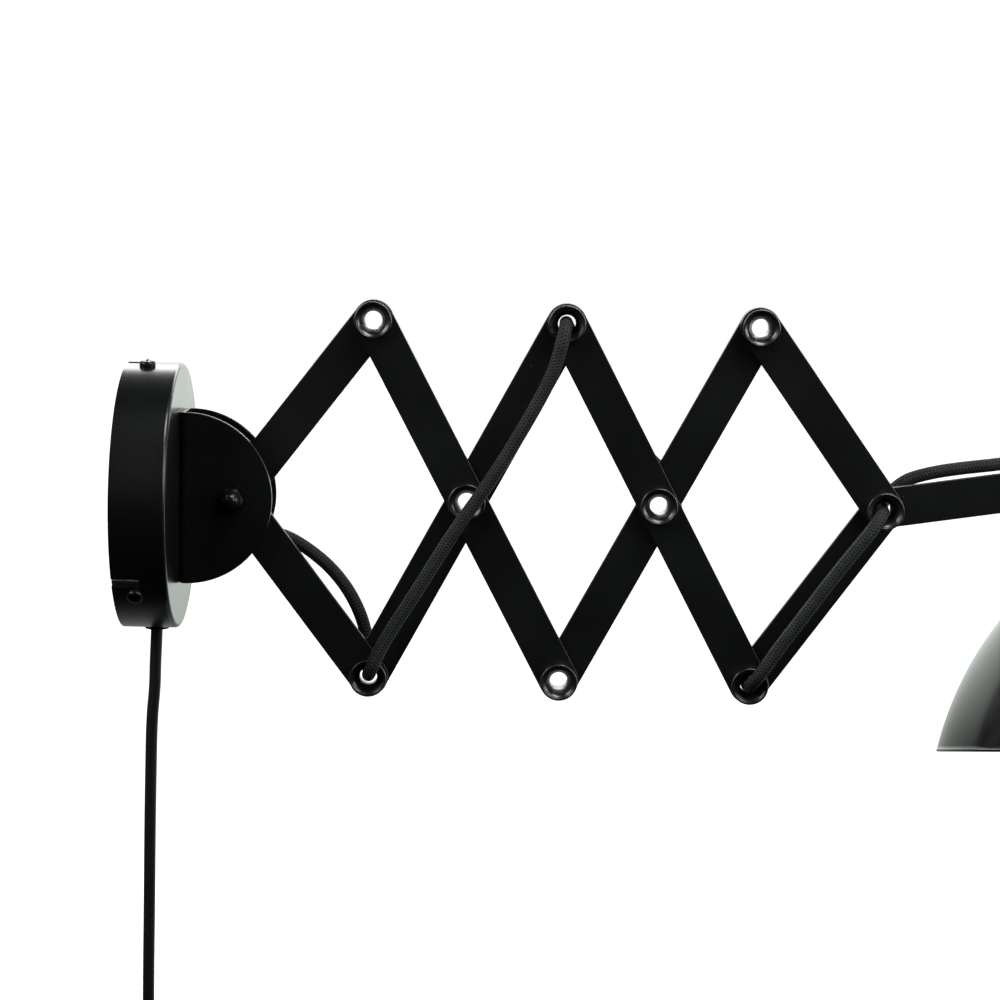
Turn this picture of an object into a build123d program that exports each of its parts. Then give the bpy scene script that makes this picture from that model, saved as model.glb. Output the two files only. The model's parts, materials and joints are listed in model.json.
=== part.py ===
from build123d import *
import math
import os

# Accordion wall lamp. Millimetres, +X out of the wall, +Z up, the arm folds in the XZ plane.
# The origin is the centre of the round canopy's back, on the wall. Front means -Y.

# ---- canopy and wall plate -------------------------------------------------------------
canopy_dia = 120.0
canopy_depth = 24.5
canopy_wall = 1.0
canopy_edge = 1.8
canopy_screw_x = 10.0
canopy_screw_angles = [-40.0, 80.0, 200.0]
bayonet_turn = 6.5
slot_width = 4.6
plate_dia = 106.0
plate_thick = 1.5
tab_width = 14.0
tab_depth = 16.0
tab_gap = 0.7
tab_foot = 6.0
wall_slot_spacing = 70.0
wall_slot_width = 4.5
wall_slot_length = 12.0

# ---- screws: shank radius, head radius, head height, recess width, recess depth ----------
m4_shank = 1.95
m4_head = 3.6
m4_head_height = 2.4
m3_shank = 1.45
m3_head = 2.6
m3_head_height = 1.6
recess_share = 0.62
recess_width = 0.9
hole_gap = 0.05
canopy_screw_length = 7.0

# ---- bracket and its pivot -----------------------------------------------------------------
bracket_wall = 2.0
bracket_inside = 20.0
cheek_radius = 38.6
cheek_base = 3.0
bend_outside = 3.0
bend_inside = 1.0
cheek_edge = 0.45
bracket_screw_z = 26.0
bracket_screw_length = 8.0
nut_flats = 7.0
nut_height = 3.0
pivot_x = 48.15
bolt_radius = 3.0
bolt_hole_gap = 0.05
bolt_head_flats = 10.0
bolt_head_height = 4.0
washer_radius = 6.5
washer_thick = 1.2
cap_nut_flats = 10.0
cap_nut_height = 5.0
cap_dome_radius = 4.3
bolt_thread_out = 6.0
sleeve_radius = 4.0
sleeve_end_gap = 0.2
spacer_radius = 6.0
spacer_flange_radius = 8.4
spacer_flange_thick = 0.8
running_gap = 0.06
face_gap = 0.1

# ---- scissor arm ---------------------------------------------------------------------------
bar_width = 18.0
bar_thick = 2.5
bar_gap = 0.3
bar_edge = 0.4
half_bar = 92.0
wall_bar_length = 102.0
lamp_bar_length = 100.0
fold_angle = 61.9
open_pivot_gap = 2.6
shade_arm_length = 119.5
shade_arm_angle = 8.7

# ---- eyelets: radii of the bore, the tube and the trumpet, heights above the bars -------------
eyelet_bore = 4.05
eyelet_tube = 4.8
eyelet_seat = 6.6
eyelet_lip = 8.4
eyelet_lip_inside = 7.2
eyelet_throat = 5.2
eyelet_height = 5.5
eyelet_lip_height = 0.75
eyelet_throat_depth = 3.1
eyelet_bore_depth = 4.9
ring_press_gap = 0.02
ring_grip = 2.7

# ---- textile lead that runs along the arm ------------------------------------------------------
lead_dia = 6.0
lead_bend = 8.0
lead_lift = 0.35
lead_side = 6.6
lead_inside_x = 9.0
lead_loop = 18.0
lead_straight = 7.5
entry_y = 2.0
entry_z = -14.0
bushing_radius = 5.0
bushing_flange = 6.4
bushing_flange_thick = 1.2
lead_bore_gap = 0.1

# ---- things inside the canopy -------------------------------------------------------------------
block_width = 18.0
block_height = 22.0
block_thick = 15.4
block_y = -11.0
block_z = -15.0
block_seat = 1.6
terminal_pitch = 9.0
terminal_screw_rise = 3.05
cord_x = 13.3
clamp_width = 22.0
clamp_height = 6.0
clamp_z = -44.0
clamp_reach = 17.5

# ---- lamp head ----------------------------------------------------------------------------------
head_tilt = 1.0
head_lean = 12.7
ear_thick = 1.5
ear_width = 14.0
ear_gap = 0.4
knuckle_gap = 0.6
knuckle_radius = 6.5
knuckle_thick = 3.7
knuckle_swing = 18.0
tongue_radius = 5.8
tongue_thick = 4.0
tongue_neck = 0.4
fork_gap = 0.25
fork_thick = 1.5
fork_base_thick = 1.5
fork_base_gap = 0.9
fork_gland_gap = 0.5
cap_height = 16.1
cap_top_radius = 16.0
cap_radius = 23.0
cap_wall = 1.2
cap_shoulder = 6.5
gland_offset = 11.0
gland_radius = 4.6
gland_height = 7.0
thumb_radius = 8.0
thumb_height = 9.0
thumb_shank = 2.5
lean_screw_radius = 5.6
lean_screw_height = 6.5
thumb_knurls = 24
knurl_radius = 0.55
screw_end = 1.0
shade_radius = 94.0
shade_mid_radius = 81.3
shade_mid_height = 34.0
shade_shoulder_radius = 64.6
shade_shoulder_height = 60.0
shade_top_radius = 26.0
shade_height = 82.0
shade_wall = 1.0
shade_bead = 1.1
holder_radius = 19.8
holder_flange = 21.4
holder_flange_thick = 2.0
holder_depth = 50.0
socket_radius = 13.3
socket_depth = 26.0
socket_mouth_radius = 15.5
socket_mouth_depth = 5.0
shell_wall = 0.4
shell_start = 5.2
contact_radius = 4.0
contact_height = 2.0
contact_gap = 0.5
ring_outer = 25.6
ring_height = 7.0
ring_ribs = 24
ring_rib_radius = 0.9

# ---- mains cord, switch, coil and plug ------------------------------------------------------------
mains_dia = 5.4
grommet_flange = 5.6
grommet_flange_thick = 1.2
grommet_neck = 4.2
coil_inner = 27.0
coil_step = 3.35
layer_step = 6.2
coil_first_x = 6.0
coil_layers = 4
layer_halves = 3
coil_end_halves = 2.25
coil_start_angle = 45.0
coil_lead_in = 27.7
coil_lead_in_side = 10.9
coil_lead_out = 34.0
tie_width = 8.0
tie_thick = 1.2
tie_gap = 0.4
switch_length = 62.0
switch_width = 28.0
switch_thick = 18.0
switch_corner = 6.0
rocker_length = 21.4
rocker_width = 11.6
rocker_thick = 8.0
rocker_tilt = 8.0
rocker_well_gap = 0.5
rocker_proud = 2.2
rocker_dip = 1.3
rocker_taper = 1.6
plug_width = 35.3
plug_thick = 13.7
plug_length = 36.0
plug_taper = 0.62
plug_sleeve_radius = 5.2
plug_sleeve_length = 14.0
plug_cord_depth = 3.0
pin_radius = 2.0
pin_length = 19.0
pin_spacing = 18.6
pin_root = 4.0

# ---- worked out -----------------------------------------------------------------------------------
front_y = -(bar_gap / 2 + bar_thick)
back_y = bar_gap / 2 + bar_thick
third_y = back_y + bar_gap
third_back_y = third_y + bar_thick
arm_mid_y = (third_y + third_back_y) / 2
mouth_y = back_y + eyelet_height
end_mouth_y = third_back_y + eyelet_height
lead_radius = lead_dia / 2
lead_over = mouth_y + lead_radius + lead_lift
lead_over_end = end_mouth_y + lead_radius + lead_lift
canopy_radius = canopy_dia / 2
web_x = canopy_depth
web_front_x = canopy_depth + bracket_wall
cheek_x = canopy_depth + cheek_base
cheek_out = bracket_inside / 2 + bracket_wall
bar_hole = eyelet_tube + running_gap
seat_hole = eyelet_tube + ring_press_gap


def along(start, angle, length):
    """The point at a distance from start, at an angle above +X in the picture plane."""
    a = math.radians(angle)
    return (start[0] + length * math.cos(a), start[1] + length * math.sin(a))


# Pins of the linkage, (x, z). The two bars at each end are longer or shorter than half a cross
# bar, so their own slopes follow from the height of the crosses.
pin_height = half_bar * math.sin(math.radians(fold_angle))
wall_angle = math.degrees(math.asin(pin_height / wall_bar_length))
lamp_angle = math.degrees(math.asin(pin_height / lamp_bar_length))
pins = {"wall": (pivot_x, 0.0)}
pins["top_1"] = along(pins["wall"], wall_angle, wall_bar_length)
pins["bottom_1"] = along(pins["wall"], -wall_angle, wall_bar_length)
pins["centre_1"] = along(pins["bottom_1"], fold_angle, half_bar)
pins["top_2"] = along(pins["centre_1"], fold_angle, half_bar)
pins["bottom_2"] = along(pins["centre_1"], -fold_angle, half_bar)
pins["centre_2"] = along(pins["top_2"], -fold_angle, half_bar)
pins["top_3"] = along(pins["centre_2"], fold_angle, half_bar)
pins["bottom_3"] = along(pins["centre_2"], -fold_angle, half_bar)
pins["end"] = along(pins["bottom_3"], lamp_angle, lamp_bar_length)
pins["shade"] = along(pins["end"], shade_arm_angle, shade_arm_length)

head_x, pivot_z = pins["shade"]

# The knuckle hangs from the arm's end and tilts about Y. The head leans about a second screw along X.
# Heights in the head are measured along its own axis from that second screw.
lean_drop = bar_width / 2 + knuckle_gap + knuckle_thick + tongue_neck + tongue_radius
knuckle_place = Pos(head_x, arm_mid_y, pivot_z) * Rot(0, -head_tilt, 0)
head_place = knuckle_place * Pos(0, 0, -lean_drop) * Rot(-head_lean, 0, 0)
cap_top = -tongue_radius - fork_base_gap - fork_base_thick
cap_bottom = cap_top - cap_height
rim = cap_bottom - shade_height

parts = {}


# ---- helpers ----------------------------------------------------------------------------------------
def facing(pin, y):
    """Places a shape drawn in the XY plane so that it is seen from the front at a pin, its +Z to -Y."""
    return Pos(pin[0], y, pin[1]) * Rot(90, 0, 0)


def outwards(x, y, z):
    """Places a shape so that its +Z points out of the wall, along +X."""
    return Pos(x, y, z) * Rot(0, 90, 0)


def disc(radius, height):
    """A cylinder that stands on the XY plane."""
    return Pos(0, 0, height / 2) * Cylinder(radius, height)


def ring(outer, inner, height):
    return disc(outer, height) - Pos(0, 0, -1) * disc(inner, height + 2)


def hexagon(flats, height):
    return extrude(RegularPolygon(flats / 2, 6, major_radius=False), height)


def spun(*outline):
    """Turns an outline of (radius, height) points round the Z axis."""
    profile = make_face(Polyline(*[(r, 0, z) for r, z in outline], close=True))
    return revolve(profile, Axis.Z)


def pan_screw(shank, head, head_height, length):
    """A cross-head screw: its head stands on the XY plane, and its shank goes down."""
    body = disc(head, head_height)
    body = fillet(body.edges().group_by(Axis.Z)[-1], head_height * 0.55)
    body = body + Pos(0, 0, -length) * disc(shank, length)
    depth = head_height * recess_share
    for turn in (0, 90):
        arm = Box(head * 1.1, recess_width, depth * 2)
        body = body - Pos(0, 0, head_height) * Rot(0, 0, turn) * arm
    return body


def round_the_canopy(angle, x, radius):
    """Places a shape on the canopy's side, its +Z outwards. 0 is the front, 90 the top."""
    return Rot(-angle, 0, 0) * Pos(x, -radius, 0) * Rot(90, 0, 0)


def corner_radii(points, given):
    """Each corner's radius: 0.45 of the shorter run over the tangent of half the turn, or as given."""
    found = []
    for i in range(1, len(points) - 1):
        before = Vector(*points[i]) - Vector(*points[i - 1])
        after = Vector(*points[i + 1]) - Vector(*points[i])
        half = math.radians(before.get_angle(after)) / 2
        radius = 0.45 * min(before.length, after.length) / math.tan(half)
        found.append(given.get(i, radius))
    return found


def tube(name, points, dia, given={}):
    """A round tube along straight runs joined by tangent arcs."""
    radii = corner_radii(points, given)
    path = FilletPolyline(*points, radius=radii)
    solid = sweep(Plane(origin=path @ 0, z_dir=path % 0) * Circle(dia / 2), path=path)
    expected = math.pi * dia * dia / 4 * path.length
    shown = ", ".join(f"{r:.0f}" for r in radii)
    print(f"{name}: length {path.length:.0f}, volume/expected {solid.volume / expected:.4f}, radii {shown}")
    return solid


# ---- wall plate, canopy and their screws --------------------------------------------------------------
def make_wall_plate():
    tab_outer = canopy_radius - canopy_wall - tab_gap
    body = outwards(0, 0, 0) * disc(plate_dia / 2, plate_thick)
    for angle in canopy_screw_angles:
        foot_start = plate_dia / 2 - tab_foot
        foot = Box(plate_thick, tab_outer - foot_start, tab_width)
        foot = Pos(plate_thick / 2, -(tab_outer + foot_start) / 2, 0) * foot
        tab = Pos(tab_depth / 2, -tab_outer + plate_thick / 2, 0) * Box(tab_depth, plate_thick, tab_width)
        body = body + Rot(-angle, 0, 0) * (foot + tab)
    for angle in canopy_screw_angles:
        hole = Pos(0, 0, -2 * plate_thick) * disc(m4_shank + hole_gap, 4 * plate_thick)
        body = body - round_the_canopy(angle, canopy_screw_x, tab_outer) * hole
    for side in (-1, 1):
        slot = extrude(SlotOverall(wall_slot_length, wall_slot_width), 3 * plate_thick)
        body = body - Pos(-plate_thick, side * wall_slot_spacing / 2, 0) * Rot(0, 90, 0) * Rot(0, 0, 90) * slot
    return body


def make_canopy():
    body = outwards(0, 0, 0) * disc(canopy_radius, canopy_depth)
    body = fillet(body.edges().group_by(Axis.X)[-1], canopy_edge)
    inside = outwards(-1, 0, 0) * disc(canopy_radius - canopy_wall, canopy_depth - canopy_wall + 1)
    body = body - inside
    reach = canopy_screw_x + slot_width / 2
    far = canopy_radius * 1.1
    for angle in canopy_screw_angles:
        hole = Pos(0, 0, -4) * disc(slot_width / 2, 8)
        body = body - round_the_canopy(angle, canopy_screw_x, canopy_radius) * hole
        entry = Pos((reach - 1) / 2, 0, 0) * Box(reach + 1, 8, slot_width)
        body = body - Rot(-angle - bayonet_turn, 0, 0) * Pos(0, -canopy_radius, 0) * entry
        wedge_points = [(0, 0)]
        for a in (angle, angle + bayonet_turn):
            r = math.radians(a)
            wedge_points.append((-far * math.cos(r), far * math.sin(r)))
        wedge = extrude(Plane.YZ * make_face(Polyline(*wedge_points, close=True)), slot_width)
        body = body - Pos(canopy_screw_x - slot_width / 2, 0, 0) * wedge
    front = canopy_depth - canopy_wall - 1
    for z in (-bracket_screw_z, bracket_screw_z):
        body = body - outwards(front, 0, z) * disc(m4_shank + hole_gap, 3)
    body = body - outwards(front, entry_y, entry_z) * disc(bushing_radius + hole_gap, 3)
    neck = Pos(cord_x, 0, -canopy_radius + 4) * Rot(180, 0, 0) * disc(grommet_neck + hole_gap, 8)
    return body - neck


def make_canopy_screws():
    screw = pan_screw(m4_shank, m4_head, m4_head_height, canopy_screw_length)
    return [round_the_canopy(a, canopy_screw_x, canopy_radius + hole_gap) * screw for a in canopy_screw_angles]


def make_cord_grommet():
    """A rubber grommet in the canopy's lower edge, with a flange each side of the wall."""
    inner_seat = math.sqrt((canopy_radius - canopy_wall) ** 2 - grommet_flange**2) - hole_gap
    neck = canopy_radius + hole_gap - inner_seat
    bore = mains_dia / 2 + lead_bore_gap
    body = disc(grommet_neck, neck + 2 * grommet_flange_thick)
    body = body + disc(grommet_flange, grommet_flange_thick)
    body = body + Pos(0, 0, neck + grommet_flange_thick) * disc(grommet_flange, grommet_flange_thick)
    body = fillet(body.edges().group_by(Axis.Z)[-1], 0.5)
    body = body - Pos(0, 0, -1) * disc(bore, 9)
    return Pos(cord_x, 0, -inner_seat + grommet_flange_thick) * Rot(180, 0, 0) * body


def make_cord_clamp():
    """A saddle on the wall plate that grips the mains cord."""
    body = Pos((plate_thick + clamp_reach) / 2, 0, clamp_z) * Box(clamp_reach - plate_thick, clamp_width, clamp_height)
    body = fillet(body.edges().filter_by(Axis.Z).group_by(Axis.X)[-1], 3)
    bore = Pos(cord_x, 0, clamp_z) * Cylinder(mains_dia / 2 + lead_bore_gap, clamp_height + 2)
    body = body - bore
    for side in (-1, 1):
        seat = outwards(plate_thick - 1, side * clamp_width * 0.36, clamp_z) * disc(m3_shank + hole_gap, 30)
        body = body - seat
    return body


def make_terminal_block():
    x = block_seat + block_thick / 2
    body = Pos(x, block_y, block_z) * Box(block_thick, block_width, block_height)
    body = fillet(body.edges().filter_by(Axis.Z), 1.0)
    for side in (-0.5, 0.5):
        for end in (-0.25, 0.25):
            place = outwards(x + 1, block_y + side * terminal_pitch, block_z + end * block_height)
            body = body - place * disc(m3_head + 0.2, block_thick)
    return body


def make_small_screws():
    """The two clamp screws and the four terminal screws, all alike."""
    screw = pan_screw(m3_shank, m3_head, m3_head_height, 6)
    made = []
    for side in (-1, 1):
        made.append(outwards(clamp_reach + 0.05, side * clamp_width * 0.36, clamp_z) * screw)
    grub = pan_screw(m3_shank, m3_head, m3_head_height, 2)
    for side in (-0.5, 0.5):
        for end in (-0.25, 0.25):
            seat = block_seat + block_thick / 2 + terminal_screw_rise
            y = block_y + side * terminal_pitch
            made.append(outwards(seat, y, block_z + end * block_height) * grub)
    return made


# ---- bracket and pivot -------------------------------------------------------------------------------
def cheek_outline():
    """Half a disc on a short straight flank, as seen from the front."""
    flank = Pos((web_x + cheek_x) / 2, 0) * Rectangle(cheek_x - web_x, 2 * cheek_radius)
    half = Pos(cheek_x, 0) * Circle(cheek_radius)
    half = half - Pos(cheek_x - cheek_radius, 0) * Rectangle(2 * cheek_radius, 3 * cheek_radius)
    return flank + half


def make_bracket():
    """One sheet folded to a U: a web on the canopy and a half-round cheek each side of the bars."""
    body = Pos(0, cheek_out, 0) * Rot(90, 0, 0) * extrude(cheek_outline(), 2 * cheek_out)
    body = fillet(body.edges().filter_by(Axis.Z).group_by(Axis.X)[0], bend_outside)
    slab = Pos(web_front_x + cheek_radius, 0, 0) * Box(2 * cheek_radius, bracket_inside, 3 * cheek_radius)
    slab = fillet(slab.edges().filter_by(Axis.Z).group_by(Axis.X)[0], bend_inside)
    body = body - slab
    rims = [e for e in body.edges().filter_by(GeomType.CIRCLE) if e.radius > cheek_radius - 0.1]
    body = fillet(rims, cheek_edge)
    body = body - Pos(pivot_x, 0, 0) * Rot(90, 0, 0) * Cylinder(bolt_radius + bolt_hole_gap, 4 * cheek_out)
    for z in (-bracket_screw_z, bracket_screw_z):
        body = body - outwards(web_x - 1, 0, z) * disc(m4_shank + hole_gap, bracket_wall + 2)
    return body - outwards(web_x - 1, entry_y, entry_z) * disc(bushing_radius + hole_gap, bracket_wall + 2)


def make_bracket_screws():
    screw = pan_screw(m4_shank, m4_head, m4_head_height, bracket_screw_length)
    return [outwards(web_front_x, 0, z) * screw for z in (-bracket_screw_z, bracket_screw_z)]


def make_bracket_nuts():
    nut = hexagon(nut_flats, nut_height) - Pos(0, 0, -1) * disc(m4_shank + hole_gap, nut_height + 2)
    x = canopy_depth - canopy_wall - nut_height
    return [outwards(x, 0, z) * nut for z in (-bracket_screw_z, bracket_screw_z)]


def make_lead_bushing():
    """A bush that lines the hole where the lead comes out of the canopy."""
    length = canopy_wall + bracket_wall
    body = disc(bushing_radius, length) + Pos(0, 0, length) * disc(bushing_flange, bushing_flange_thick)
    body = fillet(body.edges().group_by(Axis.Z)[-1], 0.5)
    body = body - Pos(0, 0, -1) * disc(lead_radius + lead_bore_gap, 9)
    return outwards(canopy_depth - canopy_wall, entry_y, entry_z) * body


def make_pivot_bolt():
    """A hexagon bolt: its head is at the back and its thread ends inside the cap nut."""
    head_y = cheek_out + washer_thick
    body = Pos(0, 0, -head_y - bolt_head_height) * hexagon(bolt_head_flats, bolt_head_height)
    body = body + Pos(0, 0, -head_y) * disc(bolt_radius, 2 * head_y + bolt_thread_out)
    return facing(pins["wall"], 0) * body


def make_cap_nut():
    """A domed nut on the front of the pivot bolt."""
    flat = hexagon(cap_nut_flats, cap_nut_height)
    cone = Cone(cap_nut_flats * 0.78, cap_nut_flats * 0.46, cap_nut_height)
    chamfered = Pos(0, 0, cap_nut_height / 2) * cone
    dome = Pos(0, 0, cap_nut_height - 0.6) * Sphere(cap_dome_radius)
    lower = Pos(0, 0, -cap_nut_height) * Box(30, 30, 2 * cap_nut_height)
    body = (flat & chamfered) + (dome - lower)
    body = body - Pos(0, 0, -1) * disc(bolt_radius + bolt_hole_gap, bolt_thread_out + 1.2)
    return facing(pins["wall"], -cheek_out - washer_thick) * body


def make_pivot_washers():
    washer = ring(washer_radius, bolt_radius + bolt_hole_gap, washer_thick)
    return [facing(pins["wall"], -cheek_out) * washer, facing(pins["wall"], cheek_out + washer_thick) * washer]


def make_pivot_sleeve():
    half = bracket_inside / 2 - sleeve_end_gap
    body = ring(sleeve_radius, bolt_radius + bolt_hole_gap, 2 * half)
    return facing(pins["wall"], half) * body


def make_pivot_spacers():
    """Two flanged spacers that hold the bars in the middle of the bracket."""
    length = bracket_inside / 2 - sleeve_end_gap - back_y - face_gap
    body = disc(spacer_radius, length) + disc(spacer_flange_radius, spacer_flange_thick)
    body = body - Pos(0, 0, -1) * disc(sleeve_radius + ring_press_gap, length + 2)
    front = facing(pins["wall"], front_y - face_gap) * body
    back = Pos(pins["wall"][0], back_y + face_gap, pins["wall"][1]) * Rot(-90, 0, 0) * body
    return [front, back]


# ---- bars ----------------------------------------------------------------------------------------------
def make_bar(start, end, holes, y_back):
    """A flat bar with full round ends and softened edges. holes gives each hole's pin and radius."""
    length = math.dist(start, end)
    angle = math.degrees(math.atan2(end[1] - start[1], end[0] - start[0]))
    middle = ((start[0] + end[0]) / 2, (start[1] + end[1]) / 2)
    body = extrude(SlotCenterToCenter(length, bar_width), bar_thick)
    faces = body.faces().filter_by(Axis.Z)
    body = fillet(faces.edges(), bar_edge)
    body = Rot(0, 0, angle) * body
    for pin, radius in holes:
        offset = Pos(pin[0] - middle[0], pin[1] - middle[1], -1)
        body = body - offset * disc(radius, bar_thick + 2)
    return facing(middle, y_back) * body


def make_bars():
    """Front bars fall to the right and carry the eyelets, back bars rise to the right and turn on them."""
    p = pins
    front_back_y = -bar_gap / 2
    loose = eyelet_tube + open_pivot_gap
    wall_hole = sleeve_radius + running_gap
    loose_wall_hole = sleeve_radius + open_pivot_gap
    specs = {
        "wall_bar_lower": ("wall", "bottom_1", [wall_hole, seat_hole], front_back_y),
        "wall_bar_upper": ("wall", "top_1", [loose_wall_hole, bar_hole], back_y),
        "cross_bar_1_front": ("top_1", "bottom_2", [seat_hole, seat_hole, seat_hole], front_back_y),
        "cross_bar_1_back": ("bottom_1", "top_2", [bar_hole, bar_hole, bar_hole], back_y),
        "cross_bar_2_front": ("top_2", "bottom_3", [seat_hole, seat_hole, seat_hole], front_back_y),
        "cross_bar_2_back": ("bottom_2", "top_3", [bar_hole, bar_hole, loose], back_y),
        "end_bar_upper": ("top_3", "end", [seat_hole, bar_hole], front_back_y),
        "end_bar_lower": ("bottom_3", "end", [bar_hole, bar_hole], back_y),
    }
    for name, (start, end, radii, y_back) in specs.items():
        a, b = p[start], p[end]
        places = [a, b]
        if len(radii) == 3:
            places = [a, ((a[0] + b[0]) / 2, (a[1] + b[1]) / 2), b]
        parts[name] = make_bar(a, b, list(zip(places, radii)), y_back)
    holes = [(p["end"], bar_hole), (p["shade"], thumb_shank + running_gap)]
    parts["shade_arm"] = make_bar(p["end"], p["shade"], holes, third_back_y)


# ---- eyelets ----------------------------------------------------------------------------------------------
def trumpet(seat, tail, inside):
    """A flared bush round the Z axis: a tube from its tail up to its seat on the bar, then the open flare."""
    top = seat + eyelet_height
    outline = [(inside, tail)]
    if tail < seat:
        outline += [(eyelet_tube, tail), (eyelet_tube, seat)]
    outline.append((eyelet_seat, seat))
    flare = ThreePointArc(
        (eyelet_seat, 0, seat),
        (eyelet_seat + 0.35 * (eyelet_lip - eyelet_seat), 0, seat + 0.62 * (eyelet_height - eyelet_lip_height)),
        (eyelet_lip, 0, top - eyelet_lip_height),
    )
    lip = ThreePointArc(
        (eyelet_lip, 0, top - eyelet_lip_height),
        ((eyelet_lip + eyelet_lip_inside) / 2, 0, top),
        (eyelet_lip_inside, 0, top - 0.8 * eyelet_lip_height),
    )
    dish = ThreePointArc(
        (eyelet_lip_inside, 0, top - 0.8 * eyelet_lip_height),
        (eyelet_throat + 0.62 * (eyelet_lip_inside - eyelet_throat), 0, top - 0.55 * eyelet_throat_depth),
        (eyelet_throat, 0, top - eyelet_throat_depth),
    )
    throat = Line((eyelet_throat, 0, top - eyelet_throat_depth), (inside, 0, top - eyelet_bore_depth))
    points = [(r, 0, z) for r, z in outline]
    back = Line((inside, 0, top - eyelet_bore_depth), points[0])
    wire = Wire([*Polyline(*points).edges(), flare, lip, dish, throat, back])
    return revolve(make_face(wire), Axis.Z)


def make_eyelets():
    """Each eyelet is a trumpet bush from the front with a flared ring pressed on its tail."""
    carriers = {
        "wall_bar_lower": ["bottom_1"],
        "cross_bar_1_front": ["top_1", "centre_1", "bottom_2"],
        "cross_bar_2_front": ["top_2", "centre_2", "bottom_3"],
        "end_bar_upper": ["top_3"],
        "end_pivot": ["end"],
    }
    ring_bore = eyelet_tube + ring_press_gap
    for carrier, names in carriers.items():
        rings = []
        for name in names:
            at_end = name == "end"
            front_seat = -front_y + (face_gap if at_end else 0)
            last_y = third_back_y if at_end else back_y
            tail = -(last_y + face_gap + ring_grip)
            bush = trumpet(front_seat, tail, eyelet_bore)
            parts["eyelet_" + name] = facing(pins[name], 0) * bush
            seat = last_y + face_gap
            body = trumpet(seat, seat, ring_bore)
            rings.append(Pos(pins[name][0], 0, pins[name][1]) * Rot(-90, 0, 0) * body)
        parts["eyelet_rings_" + carrier] = rings


# ---- textile lead, threaded through the eyelets --------------------------------------------------------------
def beside_centre_2(s, w):
    """A point on the lead behind the bar that falls through centre_2: s down along it, w to its upper right."""
    a = math.radians(fold_angle)
    x, z = pins["centre_2"]
    return (x + s * math.cos(a) + w * math.sin(a), lead_over, z - s * math.sin(a) + w * math.cos(a))


def at(place):
    spot = place.position
    return (spot.X, spot.Y, spot.Z)


def make_leads():
    p = pins
    o = lead_over
    b1, t2, b3, end = p["bottom_1"], p["top_2"], p["bottom_3"], p["end"]
    block_top = block_z + block_height / 2
    split_x = pivot_x - 5.0
    split = (split_x, lead_side, entry_z - 1.0)
    entry = [
        (lead_inside_x, block_y, block_top),
        (lead_inside_x, block_y, block_top + lead_loop),
        (lead_inside_x, entry_y + 15.0, block_top + lead_loop),
        (lead_inside_x, entry_y + 15.0, entry_z),
        (lead_inside_x, entry_y, entry_z),
        (30.8, entry_y, entry_z),
        (split_x - 5.5, lead_side, entry_z - 0.45),
        split,
    ]
    parts["lead_entry"] = tube("lead_entry", entry, lead_dia, {1: 8.5, 2: 8.5, 3: 7.4, 4: 7.4, 5: 9.5})
    first = [
        split,
        (split_x + 12.0, lead_side, entry_z - 2.2),
        (69.2, lead_side + 0.6, -17.6),
        (81.0, lead_side + 2.2, -24.4),
        (92.6, o - 1.4, -34.2),
        (101.8, o - 0.4, -46.8),
        (108.0, o, -62.0),
        (b1[0], o, b1[1]),
        (b1[0], 0, b1[1]),
    ]
    parts["lead_to_bottom_1"] = tube("lead_to_bottom_1", first, lead_dia, {7: lead_bend})
    second = [
        (b1[0], 0, b1[1]),
        (b1[0], -o, b1[1]),
        (116.6, -o, -64.0),
        (131.4, -o - 0.3, -40.6),
        (147.6, -o - 0.6, -12.8),
        (165.2, -o - 0.6, 12.6),
        (180.6, -o - 0.4, 39.0),
        (191.8, -o - 0.2, 61.0),
        (t2[0], -o, t2[1]),
        (t2[0], 0, t2[1]),
    ]
    parts["lead_to_top_2"] = tube("lead_to_top_2", second, lead_dia, {1: lead_bend, 8: lead_bend})
    third = [
        (t2[0], 0, t2[1]),
        (t2[0], o, t2[1]),
        (t2[0] + 19.6, o, t2[1] - 40.0),
        beside_centre_2(-24.0, 4.5),
        beside_centre_2(-7.0, 10.0),
        beside_centre_2(7.0, 6.0),
        beside_centre_2(24.0, 3.0),
        (b3[0] - 20.4, o, b3[1] + 36.4),
        (b3[0], o, b3[1]),
        (b3[0], 0, b3[1]),
    ]
    parts["lead_to_bottom_3"] = tube("lead_to_bottom_3", third, lead_dia, {1: lead_bend, 8: lead_bend})
    fourth = [
        (b3[0], 0, b3[1]),
        (b3[0], -o, b3[1]),
        (b3[0] + 11.6, -o, b3[1] + 18.0),
        (b3[0] + 24.4, -o - 0.3, b3[1] + 36.0),
        (b3[0] + 38.2, -o - 0.2, b3[1] + 55.4),
        (end[0], -o, end[1]),
        (end[0], 0, end[1]),
    ]
    parts["lead_to_end"] = tube("lead_to_end", fourth, lead_dia, {1: lead_bend, 5: lead_bend})
    hang = (0.0, 0.04, -1.0)
    in_gland = at(head_place * Pos(0, gland_offset, cap_top + gland_height))
    over_gland = at(head_place * Pos(0, gland_offset, cap_top + gland_height + lead_straight))
    split_head = tuple(over_gland[i] - 9.0 * hang[i] for i in range(3))
    above = tuple(over_gland[i] - 21.0 * hang[i] for i in range(3))
    last = [
        (end[0], 0, end[1]),
        (end[0], lead_over_end, end[1]),
        (end[0] + 16.0, lead_over_end - 0.6, end[1] + 12.4),
        (end[0] + 32.0, lead_over_end - 1.6, end[1] + 18.2),
        (end[0] + 52.0, lead_over_end - 1.8, end[1] + 20.4),
        (end[0] + 74.0, lead_over_end - 0.4, end[1] + 23.6),
        (end[0] + 94.0, lead_over_end + 0.3, end[1] + 27.8),
        (head_x - 11.0, lead_over_end + 0.7, pivot_z + 10.9),
        above,
        split_head,
    ]
    parts["lead_on_arm"] = tube("lead_on_arm", last, lead_dia, {1: lead_bend})
    parts["lead_to_head"] = tube("lead_to_head", [split_head, over_gland, in_gland], lead_dia)


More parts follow.
